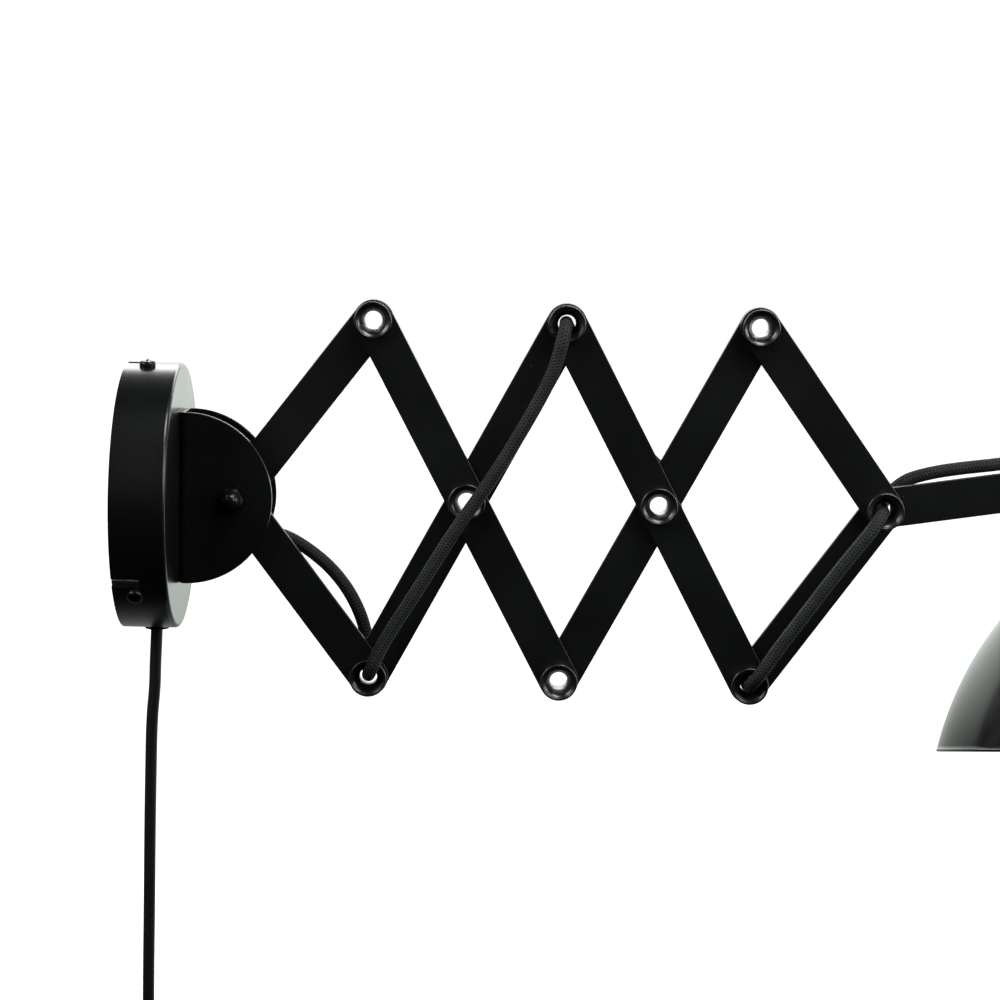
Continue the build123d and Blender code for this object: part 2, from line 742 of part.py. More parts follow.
# ---- lamp head ---------------------------------------------------------------------------------------------------
def make_yoke():
    """A knuckle: two ears take the end of the shade arm, and a tongue below them takes the lean screw."""
    inner = bar_thick / 2 + ear_gap
    outer = inner + ear_thick
    base_top = -bar_width / 2 - knuckle_gap
    base_low = base_top - knuckle_thick
    ears = Pos(0, base_low / 2) * Rectangle(ear_width, -base_low) + Circle(ear_width / 2)
    body = Pos(0, outer, 0) * Rot(90, 0, 0) * extrude(ears, 2 * outer)
    body = body + Pos(0, 0, base_low) * disc(knuckle_radius, knuckle_thick)
    slot = Pos(0, 0, base_top + bar_width) * Box(2 * ear_width, 2 * inner, 2 * bar_width)
    body = body - slot - Rot(0, -knuckle_swing, 0) * slot
    neck = Rectangle(2 * tongue_radius, lean_drop + base_low)
    tongue = Pos(0, (base_low - lean_drop) / 2) * neck + Pos(0, -lean_drop) * Circle(tongue_radius)
    body = body + Pos(-tongue_thick / 2, 0, 0) * extrude(Plane.YZ * tongue, tongue_thick)
    body = body - Rot(90, 0, 0) * Cylinder(thumb_shank + running_gap, 4 * outer)
    lean_hole = Pos(0, 0, -lean_drop) * Rot(0, 90, 0) * Cylinder(m4_shank + running_gap, 2 * tongue_thick)
    return knuckle_place * (body - lean_hole)


def make_cap_fork():
    """Two ears on the holder cap, with the knuckle's tongue between them."""
    inner = tongue_thick / 2 + fork_gap
    outer = inner + fork_thick
    ears = Pos(0, cap_top / 2) * Rectangle(2 * tongue_radius, -cap_top) + Circle(tongue_radius)
    body = Pos(-outer, 0, 0) * extrude(Plane.YZ * ears, 2 * outer)
    slot_height = 4 * tongue_radius
    slot = Box(2 * inner, slot_height, slot_height)
    body = body - Pos(0, 0, cap_top + fork_base_thick + slot_height / 2) * slot
    body = body + Pos(0, 0, cap_top) * disc(gland_offset - gland_radius - fork_gland_gap, fork_base_thick)
    return head_place * (body - Rot(0, 90, 0) * Cylinder(m4_shank + running_gap, 4 * outer))


def knurled_screw(radius, height, shank, reach):
    """A knurled screw through a joint: its head stands beyond reach on +Z, and its shank ends beyond -reach."""
    head = disc(radius, height)
    head = chamfer(head.edges().group_by(Axis.Z)[-1], 0.8)
    for i in range(thumb_knurls):
        groove = Pos(radius, 0, height / 2) * Cylinder(knurl_radius, height + 1)
        head = head - Rot(0, 0, i * 360 / thumb_knurls) * groove
    seat = reach + face_gap
    return Pos(0, 0, seat) * head + Pos(0, 0, -reach - screw_end) * disc(shank, reach + screw_end + seat + 0.5)


def make_thumb_screws():
    """One screw through the ears and the arm from the front, one through the fork and the tongue."""
    reach = bar_thick / 2 + ear_gap + ear_thick
    tilt_screw = knurled_screw(thumb_radius, thumb_height, thumb_shank, reach)
    reach = tongue_thick / 2 + fork_gap + fork_thick
    lean_screw = knurled_screw(lean_screw_radius, lean_screw_height, m4_shank, reach)
    lean_place = knuckle_place * Pos(0, 0, -lean_drop) * Rot(0, 90, 0)
    return [knuckle_place * Rot(90, 0, 0) * tilt_screw, lean_place * lean_screw]


def make_holder_cap():
    """A turned cup over the lampholder, open below, with the fork and the gland on its flat top."""
    body = spun(
        (0, 0),
        (cap_radius, 0),
        (cap_radius, cap_height - cap_shoulder),
        (cap_top_radius, cap_height),
        (0, cap_height),
    )
    edges = [e for e in body.edges().filter_by(GeomType.CIRCLE) if e.center().Z > 1]
    body = fillet(edges, 1.2)
    w = cap_wall
    inside = spun(
        (0, -1),
        (cap_radius - w, -1),
        (cap_radius - w, cap_height - cap_shoulder - w * 0.5),
        (cap_top_radius - w * 0.7, cap_height - w),
        (0, cap_height - w),
    )
    body = body - inside
    body = body - Pos(0, gland_offset, cap_height / 2) * disc(lead_radius + lead_bore_gap, cap_height)
    return head_place * Pos(0, 0, cap_bottom) * body


def make_lead_gland():
    """A tapered gland on the cap where the lead goes in."""
    bore = lead_radius + lead_bore_gap
    body = spun(
        (bore, 0),
        (gland_radius, 0),
        (gland_radius, gland_height * 0.4),
        (gland_radius - 0.8, gland_height),
        (bore, gland_height),
    )
    return head_place * Pos(0, gland_offset, cap_top) * body


def shade_outline(inset):
    """The shade's profile, (radius, height above the rim): a long arc, then a tighter one to the flat crown."""
    flank = ThreePointArc(
        (shade_radius - inset, 0, 0),
        (shade_mid_radius - inset * 0.92, 0, shade_mid_height - inset * 0.4),
        (shade_shoulder_radius - inset * 0.79, 0, shade_shoulder_height - inset * 0.61),
    )
    crown = TangentArc(flank @ 1, (shade_top_radius, 0, shade_height - inset), tangent=flank % 1)
    return flank, crown


def make_shade():
    """A spun bell, a millimetre thick, with a beaded rim and a flat crown with a round hole."""
    hole = holder_radius + 0.3
    flank, crown = shade_outline(0)
    inner_flank, inner_crown = shade_outline(shade_wall)
    top = Line((shade_top_radius, 0, shade_height), (hole, 0, shade_height))
    edge = Line((hole, 0, shade_height), (hole, 0, shade_height - shade_wall))
    under = Line((hole, 0, shade_height - shade_wall), (shade_top_radius, 0, shade_height - shade_wall))
    rim_line = Line((shade_radius - shade_wall, 0, 0), (shade_radius, 0, 0))
    wire = Wire([flank, crown, top, edge, under, inner_crown, inner_flank, rim_line])
    body = revolve(make_face(wire), Axis.Z)
    bead = Pos(0, 0, shade_bead) * Torus(shade_radius - shade_bead, shade_bead)
    return head_place * Pos(0, 0, rim) * (body + bead)


def make_lampholder():
    """A moulded lampholder: a flange on the crown, a threaded outside and a socket open below."""
    length = holder_depth
    body = disc(holder_flange, holder_flange_thick)
    body = body + Pos(0, 0, -length) * disc(holder_radius, length + 0.1)
    body = body - Pos(0, 0, -length - 1) * disc(socket_radius + shell_wall + 0.05, socket_depth + 1)
    body = body - Pos(0, 0, -length - 1) * disc(socket_mouth_radius, socket_mouth_depth + 1)
    body = body - Pos(0, 0, -length + socket_depth - 0.5) * disc(contact_radius * 0.6, contact_height)
    return head_place * Pos(0, 0, cap_bottom + face_gap) * body


def make_lampholder_contacts():
    """The metal screw shell in the socket and the centre contact above it."""
    shell_height = socket_depth - contact_height - contact_gap - shell_start
    shell = Pos(0, 0, shell_start) * ring(socket_radius + shell_wall, socket_radius, shell_height)
    tongue = Pos(0, 0, socket_depth - contact_height) * disc(contact_radius, contact_height - 0.05)
    place = head_place * Pos(0, 0, cap_bottom + face_gap - holder_depth)
    return [place * shell, place * tongue]


def make_shade_ring():
    """The ribbed ring that clamps the shade to the lampholder from below."""
    body = ring(ring_outer, holder_radius + 0.05, ring_height)
    for i in range(ring_ribs):
        groove = Pos(ring_outer, 0, ring_height / 2) * Cylinder(ring_rib_radius, ring_height + 1)
        body = body - Rot(0, 0, i * 360 / ring_ribs) * groove
    return head_place * Pos(0, 0, cap_bottom - shade_wall - face_gap - ring_height) * body


# ---- mains cord, inline switch, put-away coil and plug ------------------------------------------------------------
cord_route = [
    (cord_x, 0.0, clamp_z + 1.0),
    (cord_x, 0.0, -canopy_radius - 1.0),
    (cord_x - 0.75, 0.2, -canopy_radius - 17.0),
    (cord_x - 0.8, -0.2, -canopy_radius - 28.0),
    (cord_x - 2.2, 0.0, -canopy_radius - 43.0),
    (cord_x - 2.6, 0.3, -canopy_radius - 64.0),
    (cord_x - 2.9, -0.1, -canopy_radius - 95.0),
    (cord_x - 3.1, 0.2, -canopy_radius - 134.0),
    (cord_x - 3.3, 0.0, -canopy_radius - 159.0),
    (cord_x - 3.3, 0.0, -canopy_radius - 184.0),
]
switch_x = cord_route[-1][0]
switch_top = cord_route[-1][2]
switch_bottom = switch_top - switch_length
coil_outer = coil_inner + coil_step * layer_halves
coil_rise = coil_outer * math.cos(math.radians(coil_start_angle))
coil_z = switch_bottom - coil_lead_in - coil_rise
coil_y = coil_lead_in_side - coil_outer * math.sin(math.radians(coil_start_angle))


def coil_halves():
    """Each half turn of the coil as (radius change, layer change): in, climb, out, climb and so on."""
    halves = []
    for layer in range(coil_layers):
        inwards = layer % 2 == 0
        count = layer_halves if layer < coil_layers - 1 else coil_end_halves
        halves.append((count, -coil_step if inwards else coil_step, 0.0))
        if layer < coil_layers - 1:
            halves.append((1, 0.0, layer_step))
    return halves


def coil_point(turned):
    """A point on the coil's centreline after a number of half turns, round an axis along X."""
    radius = coil_outer
    x = coil_first_x
    left = turned
    for count, in_out, climb in coil_halves():
        done = min(max(left, 0.0), count)
        radius = radius + in_out * done
        x = x + climb * done
        left = left - count
    a = math.radians(coil_start_angle) + math.pi * turned
    return Vector(x, coil_y + radius * math.sin(a), coil_z + radius * math.cos(a))


def coil_heading(turned):
    return (coil_point(turned + 0.12) - coil_point(turned - 0.12)).normalized()


def biarc(start, heading, end, end_heading):
    """Two arcs that leave start and reach end with the given headings."""
    v = end - start
    t = heading + end_heading
    a = 2 * (1 - heading.dot(end_heading))
    b = 2 * v.dot(t)
    c = -v.dot(v)
    d = -c / b if abs(a) < 1e-9 else (-b + math.sqrt(b * b - 4 * a * c)) / (2 * a)
    joint = (start + heading * d + end - end_heading * d) * 0.5
    first = TangentArc(start, joint, tangent=heading)
    return [first, TangentArc(joint, end, tangent=first % 1)]


def make_coil():
    """The put-away length: four layers of turns as one unbroken tube from the switch to the plug."""
    total = sum(count for count, _, _ in coil_halves())
    steps = round(total * 4)
    nodes = [coil_point(total * i / steps) for i in range(steps + 1)]
    headings = [coil_heading(total * i / steps) for i in range(steps + 1)]
    down = Vector(0, 0, -1)
    headings[-1] = down
    nodes.insert(0, Vector(switch_x, 0, switch_bottom))
    headings.insert(0, down)
    edges = []
    for i in range(len(nodes) - 1):
        edges += biarc(nodes[i], headings[i], nodes[i + 1], headings[i + 1])
    last = nodes[-1]
    edges.append(Line(last, last + down * coil_lead_out))
    path = Wire(edges)
    solid = sweep(Plane(origin=path @ 0, z_dir=path % 0) * Circle(mains_dia / 2), path=path)
    count = 900
    line = [path @ (i / count) for i in range(count + 1)]
    skip = math.ceil(2.2 * mains_dia / (path.length / count))
    least = min((line[i] - line[j]).length for i in range(count) for j in range(i + skip, count + 1))
    share = solid.volume / (math.pi * mains_dia**2 / 4 * path.length)
    print(f"cord_coil: length {path.length:.0f}, {total / 2:.2f} turns, volume/expected {share:.4f}")
    print(f"cord_coil: least gap to itself {least - mains_dia:.2f}")
    return solid, last + down * coil_lead_out


def make_ties():
    """Two bands round the bundle of turns, at its top and bottom."""
    r_low = coil_inner - mains_dia / 2 - tie_gap
    r_high = coil_outer + mains_dia / 2 + tie_gap
    x_low = coil_first_x - mains_dia / 2 - tie_gap
    x_high = coil_first_x + (coil_layers - 1) * layer_step + mains_dia / 2 + tie_gap
    made = []
    for side in (-1, 1):
        outer = Box(x_high - x_low + 2 * tie_thick, tie_width, r_high - r_low + 2 * tie_thick)
        outer = fillet(outer.edges().filter_by(Axis.Y), 3)
        inner = Box(x_high - x_low, tie_width + 2, r_high - r_low)
        inner = fillet(inner.edges().filter_by(Axis.Y), 1.8)
        place = Pos((x_low + x_high) / 2, coil_y, coil_z + side * (r_low + r_high) / 2)
        made.append(place * (outer - inner))
    return made


def make_switch():
    """The inline switch: a rounded case on the cord with a well for its rocker."""
    body = Box(switch_thick, switch_width, switch_length)
    body = fillet(body.edges().filter_by(Axis.X), switch_corner)
    body = fillet(body.edges().filter_by(Plane.YZ), 2.5)
    well_depth = rocker_thick + 2 * rocker_well_gap
    well = Box(well_depth * 2, rocker_width + 2 * rocker_well_gap, rocker_length + 2 * rocker_well_gap)
    body = body - Pos(switch_thick / 2, 0, 0) * well
    place = Pos(switch_x, 0, (switch_top + switch_bottom) / 2)
    return place * body


def make_rocker():
    """The rocker, tipped to one side: a shallow V face on a barrel that turns about Y."""
    half = rocker_length / 2
    base = rocker_proud - rocker_thick
    waist = base / 5
    outline = [
        (base, rocker_taper - half),
        (waist, -half),
        (rocker_proud, -half),
        (rocker_proud - rocker_dip, 0),
        (rocker_proud, half),
        (waist, half),
        (base, half - rocker_taper),
    ]
    body = extrude(Plane.XZ * make_face(Polyline(*outline, close=True)), rocker_width / 2, both=True)
    body = fillet(body.edges().filter_by(Axis.Y).group_by(Axis.X)[-1], 0.8)
    body = Rot(0, rocker_tilt, 0) * body
    return Pos(switch_x + switch_thick / 2, 0, (switch_top + switch_bottom) / 2) * body


def make_plug(top):
    """A flat two-pin plug that hangs from the end of the coil, pins down."""
    wide = Rectangle(plug_thick, plug_width)
    narrow = Rectangle(plug_thick * 0.8, plug_width * plug_taper)
    wide = fillet(wide.vertices(), 4.5)
    narrow = fillet(narrow.vertices(), 3.5)
    neck = Pos(0, 0, plug_length) * narrow
    body = loft([wide, Pos(0, 0, plug_length * 0.45) * wide, neck], ruled=True)
    sleeve = Cone(plug_sleeve_radius, mains_dia / 2 + 0.9, plug_sleeve_length)
    sleeve = Pos(0, 0, plug_length + plug_sleeve_length / 2) * sleeve
    body = body + sleeve
    bore_length = plug_cord_depth + plug_sleeve_length + 1
    bore = Pos(0, 0, plug_length - plug_cord_depth) * disc(mains_dia / 2 + lead_bore_gap, bore_length)
    body = body - bore
    pins_made = []
    for side in (-1, 1):
        hole = Pos(0, side * pin_spacing / 2, -1) * disc(pin_radius + 0.02, pin_root + 1)
        body = body - hole
        pin = Pos(0, side * pin_spacing / 2, -pin_length) * disc(pin_radius, pin_length + pin_root)
        pin = fillet(pin.edges().group_by(Axis.Z)[0], 1.4)
        pins_made.append(pin)
    place = Pos(top.X, top.Y, top.Z - plug_length + plug_cord_depth)
    return place * body, [place * pin for pin in pins_made]


# ---- the whole lamp ---------------------------------------------------------------------------------------------------
parts["wall_plate"] = make_wall_plate()
parts["canopy"] = make_canopy()
parts["canopy_screws"] = make_canopy_screws()
parts["cord_grommet"] = make_cord_grommet()
parts["cord_clamp"] = make_cord_clamp()
parts["terminal_block"] = make_terminal_block()
parts["small_screws"] = make_small_screws()
parts["bracket"] = make_bracket()
parts["bracket_screws"] = make_bracket_screws() + make_bracket_nuts()
parts["lead_bushing"] = make_lead_bushing()
parts["pivot_bolt"] = [make_pivot_bolt(), *make_pivot_washers()]
parts["pivot_cap_nut"] = make_cap_nut()
parts["pivot_sleeve"] = make_pivot_sleeve()
parts["pivot_spacers"] = make_pivot_spacers()
make_bars()
make_eyelets()
make_leads()
parts["shade_yoke"] = make_yoke()
parts["thumb_screws"] = make_thumb_screws()
parts["cap_fork"] = make_cap_fork()
parts["holder_cap"] = make_holder_cap()
parts["lead_gland"] = make_lead_gland()
parts["shade"] = make_shade()
parts["lampholder"] = make_lampholder()
parts["lampholder_contacts"] = make_lampholder_contacts()
parts["shade_ring"] = make_shade_ring()
parts["mains_cord"] = tube("mains_cord", cord_route, mains_dia)
parts["cord_coil"], coil_end = make_coil()
parts["cord_ties"] = make_ties()
parts["switch_case"] = make_switch()
parts["switch_rocker"] = make_rocker()
parts["plug_body"], parts["plug_pins"] = make_plug(coil_end)

os.makedirs("parts", exist_ok=True)
for name, shape in parts.items():
    if isinstance(shape, list):
        solids = []
        for piece in shape:
            solids += piece.solids()
        shape = Compound(children=solids)
    export_step(shape, f"parts/{name}.step")
print(len(parts), "nodes")
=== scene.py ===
import json
import math

import bpy
import numpy as np
from mathutils import Matrix, Vector


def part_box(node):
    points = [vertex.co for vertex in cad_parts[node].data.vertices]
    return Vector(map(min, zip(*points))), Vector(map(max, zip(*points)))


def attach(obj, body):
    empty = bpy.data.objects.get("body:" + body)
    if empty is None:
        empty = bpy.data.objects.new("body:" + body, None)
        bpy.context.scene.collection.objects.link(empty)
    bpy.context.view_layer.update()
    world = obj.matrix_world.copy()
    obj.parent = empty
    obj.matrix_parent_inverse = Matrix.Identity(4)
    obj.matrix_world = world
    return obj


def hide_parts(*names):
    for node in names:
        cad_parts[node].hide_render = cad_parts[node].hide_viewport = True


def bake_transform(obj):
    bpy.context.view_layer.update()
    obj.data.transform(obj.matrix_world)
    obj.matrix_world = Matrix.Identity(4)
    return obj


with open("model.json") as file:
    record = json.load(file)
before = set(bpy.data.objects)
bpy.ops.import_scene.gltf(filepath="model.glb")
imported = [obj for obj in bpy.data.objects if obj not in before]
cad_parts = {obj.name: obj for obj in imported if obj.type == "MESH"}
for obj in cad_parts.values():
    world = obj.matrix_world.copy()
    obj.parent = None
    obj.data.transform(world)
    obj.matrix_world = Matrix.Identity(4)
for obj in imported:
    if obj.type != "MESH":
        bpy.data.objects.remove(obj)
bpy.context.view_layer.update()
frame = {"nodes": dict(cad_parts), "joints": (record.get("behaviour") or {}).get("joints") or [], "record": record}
nodes = frame["nodes"]
jointAt = {joint["name"]: Vector(joint["pos_m"]) for joint in frame["joints"]}
mm = 0.001
print("frame loaded:", len(nodes), "CAD nodes")

# the picture's camera
view = dict(
    place=(0.1717, -1.1485, 0.1444),  # metres from the canopy's back
    yaw=-0.173,  # degrees, positive to the right
    pitch=7.129,  # degrees below the horizon
    roll=1.191,  # degrees, the picture turned clockwise
    lens=92.12,  # for a 36 mm wide sensor
)


def makeCamera():
    yaw, pitch, roll = (math.radians(view[key]) for key in ("yaw", "pitch", "roll"))
    ahead = Vector((math.sin(yaw) * math.cos(pitch), math.cos(yaw) * math.cos(pitch), -math.sin(pitch)))
    right = Vector((math.cos(yaw), -math.sin(yaw), 0))
    up = right.cross(ahead)
    turnedRight = right * math.cos(roll) + up * math.sin(roll)
    turnedUp = up * math.cos(roll) - right * math.sin(roll)
    data = bpy.data.cameras.new("camera")
    data.sensor_width, data.lens = 36.0, view["lens"]
    data.clip_start, data.clip_end = 0.01, 60.0
    camera = bpy.data.objects.new("camera", data)
    bpy.context.scene.collection.objects.link(camera)
    turn = Matrix((turnedRight, turnedUp, -ahead)).transposed()
    camera.matrix_world = Matrix.Translation(view["place"]) @ turn.to_4x4()
    bpy.context.scene.camera = camera


makeCamera()


# a number on a socket: the operators add Math nodes, so formulas read as Python
class Value:
    def __init__(self, paint, socket):
        self.paint, self.socket = paint, socket

    def maths(self, operation, *values):
        return self.paint.node("ShaderNodeMath", dict(operation=operation), dict(enumerate(values)))

    def __add__(self, other):
        return self.maths("ADD", self, other)

    def __sub__(self, other):
        return self.maths("SUBTRACT", self, other)

    def __rsub__(self, other):
        return self.maths("SUBTRACT", other, self)

    def __mul__(self, other):
        return self.maths("MULTIPLY", self, other)

    def __truediv__(self, other):
        return self.maths("DIVIDE", self, other)

    def __pow__(self, other):
        return self.maths("POWER", self, other)

    __radd__ = __add__
    __rmul__ = __mul__

    def part(self):
        return self.maths("FRACT", self)

    def whole(self):
        return self.maths("FLOOR", self)

    def size(self):
        return self.maths("ABSOLUTE", self)

    def wave(self):  # sine of whole turns
        return self.maths("SINE", self * (2 * math.pi))

    def above(self, edge):
        return self.maths("GREATER_THAN", self, edge)

    def ramp(self, low, high, first=0.0, last=1.0):
        inputs = {"Value": self, "From Min": low, "From Max": high, "To Min": first, "To Max": last}
        return self.paint.node("ShaderNodeMapRange", dict(interpolation_type="SMOOTHSTEP"), inputs)


# one material: node() adds any node, shader() its one Principled surface
class Paint:
    def __init__(self, name):
        self.material = bpy.data.materials.new(name)
        self.material.use_nodes = True
        self.tree = self.material.node_tree
        self.tree.nodes.clear()
        self.places = self.node("ShaderNodeTexCoord", {}, {}, "Object")

    def node(self, kind, settings, inputs, output=0):
        made = self.tree.nodes.new(kind)
        for key, value in settings.items():
            setattr(made, key, value)
        for key, value in inputs.items():
            if isinstance(value, Value):
                self.tree.links.new(value.socket, made.inputs[key])
            else:
                made.inputs[key].default_value = value
        return Value(self, made.outputs[output])

    def noise(self, scale, detail=2.0, rough=0.5, places=None):
        inputs = {"Vector": places or self.places, "Scale": scale, "Detail": detail, "Roughness": rough}
        return self.node("ShaderNodeTexNoise", {}, inputs)

    def mix(self, mask, first, last):
        first, last = ((*c, 1) if isinstance(c, tuple) else c for c in (first, last))
        return self.node("ShaderNodeMix", dict(data_type="RGBA"), {0: mask, 6: first, 7: last}, 2)

    def bump(self, height, distance, strength=1.0):
        inputs = {"Height": height, "Distance": distance, "Strength": strength}
        return self.node("ShaderNodeBump", {}, inputs)

    def cordLay(self):  # a cord's UV: turns round it, metres along it
        uv = self.node("ShaderNodeUVMap", dict(uv_map="lay"), {})
        around = self.node("ShaderNodeSeparateXYZ", {}, {0: uv})
        along = Value(self, around.socket.node.outputs[1])
        return around, along

    def shader(self, **inputs):
        inputs = {key.replace("_", " "): value for key, value in inputs.items()}
        surface = self.node("ShaderNodeBsdfPrincipled", {}, inputs)
        end = self.tree.nodes.new("ShaderNodeOutputMaterial")
        self.tree.links.new(surface.socket, end.inputs["Surface"])
        return self.material


# the black powder coat on the metal
satinLook = dict(
    tone=(0.0034, 0.0037, 0.0039),
    greyTone=(0.0056, 0.0061, 0.0064),
    roughness=0.25,
    specular=0.5,
    dust=0.55,  # a speck lies in three tenths of this share of the cells
    cellScale=105.0,
    speckSize=0.024,
    speckShow=0.16,
    speckTone=(0.62, 0.63, 0.6),
    cloudRough=0.07,  # how much the cloud and the fine grain change the gloss
    fineRough=0.05,
    skinDepth=0.00004,
)


# powder coat: a cloudy tone, a fine orange-peel skin and a few specks of dust
def satinPaint(name, roughness=None, dust=None, peel=1.0, specular=None):
    look = satinLook
    p = Paint(name)
    cloud = p.noise(24.0, 3.0)
    fine = p.noise(900.0, 2.0)
    skin = p.noise(2300.0, 1.0)
    layout = {"Vector": p.places, "Scale": look["cellScale"]}
    cells = p.node("ShaderNodeTexVoronoi", {}, layout)
    pick = p.node("ShaderNodeTexVoronoi", {}, layout, "Color")
    chance = p.node("ShaderNodeSeparateColor", {}, {"Color": pick})
    amount = look["dust"] if dust is None else dust
    speck = (1 - cells.above(look["speckSize"])) * chance.above(1 - amount * 0.3)
    tone = p.mix(cloud.ramp(0.35, 0.7), look["tone"], look["greyTone"])
    tone = p.mix(speck * look["speckShow"], tone, look["speckTone"])
    rough = roughness or look["roughness"]
    return p.shader(
        Base_Color=tone,
        Roughness=rough + (cloud - 0.5) * look["cloudRough"] + (fine - 0.5) * look["fineRough"],
        Specular_IOR_Level=specular or look["specular"],
        Normal=p.bump(skin * 0.6 + fine * 0.4, look["skinDepth"] * peel, 0.5),
    )


# glossy enamel on a pressed ferrule: almost mirror black with a faint ripple
def enamel(name):
    p = Paint(name)
    ripple = p.noise(420.0, 2.0)
    haze = p.noise(60.0, 2.0)
    tone = p.mix(haze.ramp(0.4, 0.7), (0.0035, 0.0036, 0.0038), (0.007, 0.0073, 0.0077))
    return p.shader(
        Base_Color=tone,
        Roughness=0.32 + haze.ramp(0.4, 0.75, 0.0, 0.07),
        Specular_IOR_Level=0.5,
        Coat_Weight=0.5,
        Coat_Roughness=0.2,
        Normal=p.bump(ripple, 0.00005, 0.5),
    )


# black oxide on small steel parts: dark metal, brighter and smoother where it has rubbed
def blackOxide(name):
    p = Paint(name)
    cloud = p.noise(300.0, 4.0)
    grain = p.noise(3000.0, 2.0)
    worn = cloud.ramp(0.57, 0.8)
    return p.shader(
        Base_Color=p.mix(worn, (0.02, 0.021, 0.023), (0.11, 0.11, 0.115)),
        Metallic=0.75,
        Roughness=0.24 - worn * 0.08 + (grain - 0.5) * 0.1,
        Normal=p.bump(grain, 0.00003, 0.4),
    )


# dark zinc plate: grey metal with a soft spangle and a smear
def zincPlate(name):
    p = Paint(name)
    spangle = p.node("ShaderNodeTexVoronoi", {}, {"Vector": p.places, "Scale": 260.0}, "Color")
    part = p.node("ShaderNodeSeparateColor", {}, {"Color": spangle})
    smear = p.noise(90.0, 4.0)
    return p.shader(
        Base_Color=p.mix(part * 0.5 + smear * 0.5, (0.26, 0.265, 0.28), (0.4, 0.405, 0.41)),
        Metallic=1.0,
        Roughness=0.3 + part * 0.1 + smear * 0.1,
        Normal=p.bump(p.noise(1500.0, 2.0), 0.00002, 0.4),
    )


# nickelled brass: warm bright metal with faint tarnish
def nickel(name, tone=(0.76, 0.72, 0.62)):
    p = Paint(name)
    stain = p.noise(140.0, 4.0)
    low = tuple(0.7 * value for value in tone)
    return p.shader(
        Base_Color=p.mix(stain.ramp(0.45, 0.8), tone, low),
        Metallic=1.0,
        Roughness=0.2 + stain * 0.15,
        Normal=p.bump(p.noise(2200.0, 1.0), 0.00001, 0.4),
    )


# moulded plastic or rubber: a spark-eroded grain and slow changes of gloss
def moulded(name, tone, roughness, grainSize=2600.0, depth=0.00003, specular=0.5):
    p = Paint(name)
    grain = p.noise(grainSize, 3.0)
    cloud = p.noise(50.0, 3.0)
    pale = tuple(min(1.0, value * 1.35 + 0.002) for value in tone)
    return p.shader(
        Base_Color=p.mix(cloud.ramp(0.35, 0.75), tone, pale),
        Roughness=roughness + (cloud - 0.5) * 0.12 + (grain - 0.5) * 0.08,
        Specular_IOR_Level=specular,
        Normal=p.bump(grain, depth, 0.6),
    )


# white stove enamel inside the shade, in places a little warmer
def whiteEnamel(name):
    p = Paint(name)
    cloud = p.noise(30.0, 4.0)
    return p.shader(
        Base_Color=p.mix(cloud.ramp(0.3, 0.75), (0.8, 0.79, 0.76), (0.72, 0.71, 0.67)),
        Roughness=0.42 + (cloud - 0.5) * 0.1,
        Normal=p.bump(p.noise(1400.0, 2.0), 0.00003, 0.4),
    )


braidLook = dict(
    columns=11,  # plaits round the lead
    pitch=1.5 * mm,  # one stitch along it
    slant=0.3,  # how far a stitch leans across its plait
    # both tones are painted light: dark is the painted shade in the gaps, light the painted highlight on the
    # stitch tops
    dark=(0.0014, 0.0016, 0.0017),
    light=(0.044, 0.048, 0.049),
)


# textile braid on the piece's own UV (turns round, metres along): each plait has a row of
# gaps, half a stitch further along in every second plait, gap = sin(across) * (1 - |sin(along)|),
# and fine yarns lean over between them, one way and the other; its colour is painted light:
# painted shade darkens the gaps and a painted highlight lightens the stitch tops
def braid(name):
    p, look = Paint(name), braidLook
    around, along = p.cordLay()
    plait = around * look["columns"]
    across = plait.part()
    side = (plait.whole() * 0.5).part() * 4 - 1
    fray = p.noise(700.0, 2.0)
    stitch = along / look["pitch"] + side * 0.25 + (across - 0.5) * side * look["slant"] + fray * 0.3
    swell = (across * 0.5).wave().size()
    gap = swell ** 0.7 * (1 - (stitch * 0.5).wave().size()) ** 0.6
    strand = ((along / look["pitch"] + across * side * 0.8) * 2.5).wave() * 0.5 + 0.5
    yarn = p.noise(5200.0, 2.0)
    wear = p.noise(160.0, 3.0)
    # top is a painted highlight on the stitch tops, varied by wear and yarn noise; where it is low the gaps get
    # painted shade
    top = (1 - gap) ** 1.8 * wear.ramp(0.25, 0.75, 0.6, 1.0) * (0.5 + strand * 0.25 + yarn * 0.35)
    return p.shader(
        Base_Color=p.mix(top, look["dark"], look["light"]),
        Roughness=0.7 - top * 0.14,
        Specular_IOR_Level=0.22,
        Sheen_Weight=0.06,
        Sheen_Roughness=0.4,
        Normal=p.bump(1 - gap + strand * 0.2 + yarn * 0.12, 0.0003, 0.8),
    )


# extruded sheath: matte, with very faint lines along it
def sheath(name):
    p = Paint(name)
    around, along = p.cordLay()
    stretched = p.node("ShaderNodeCombineXYZ", {}, {"X": around * 40, "Y": along * 30})
    lines = p.noise(1.0, 3.0, 0.6, stretched)
    grain = p.noise(1800.0, 2.0)
    return p.shader(
        Base_Color=p.mix(lines.ramp(0.3, 0.75), (0.0028, 0.0028, 0.003), (0.006, 0.006, 0.0062)),
        Roughness=0.5 + (lines - 0.5) * 0.14 + (grain - 0.5) * 0.08,
        Specular_IOR_Level=0.3,
        Normal=p.bump(lines * 0.5 + grain * 0.5, 0.00004, 0.5),
    )


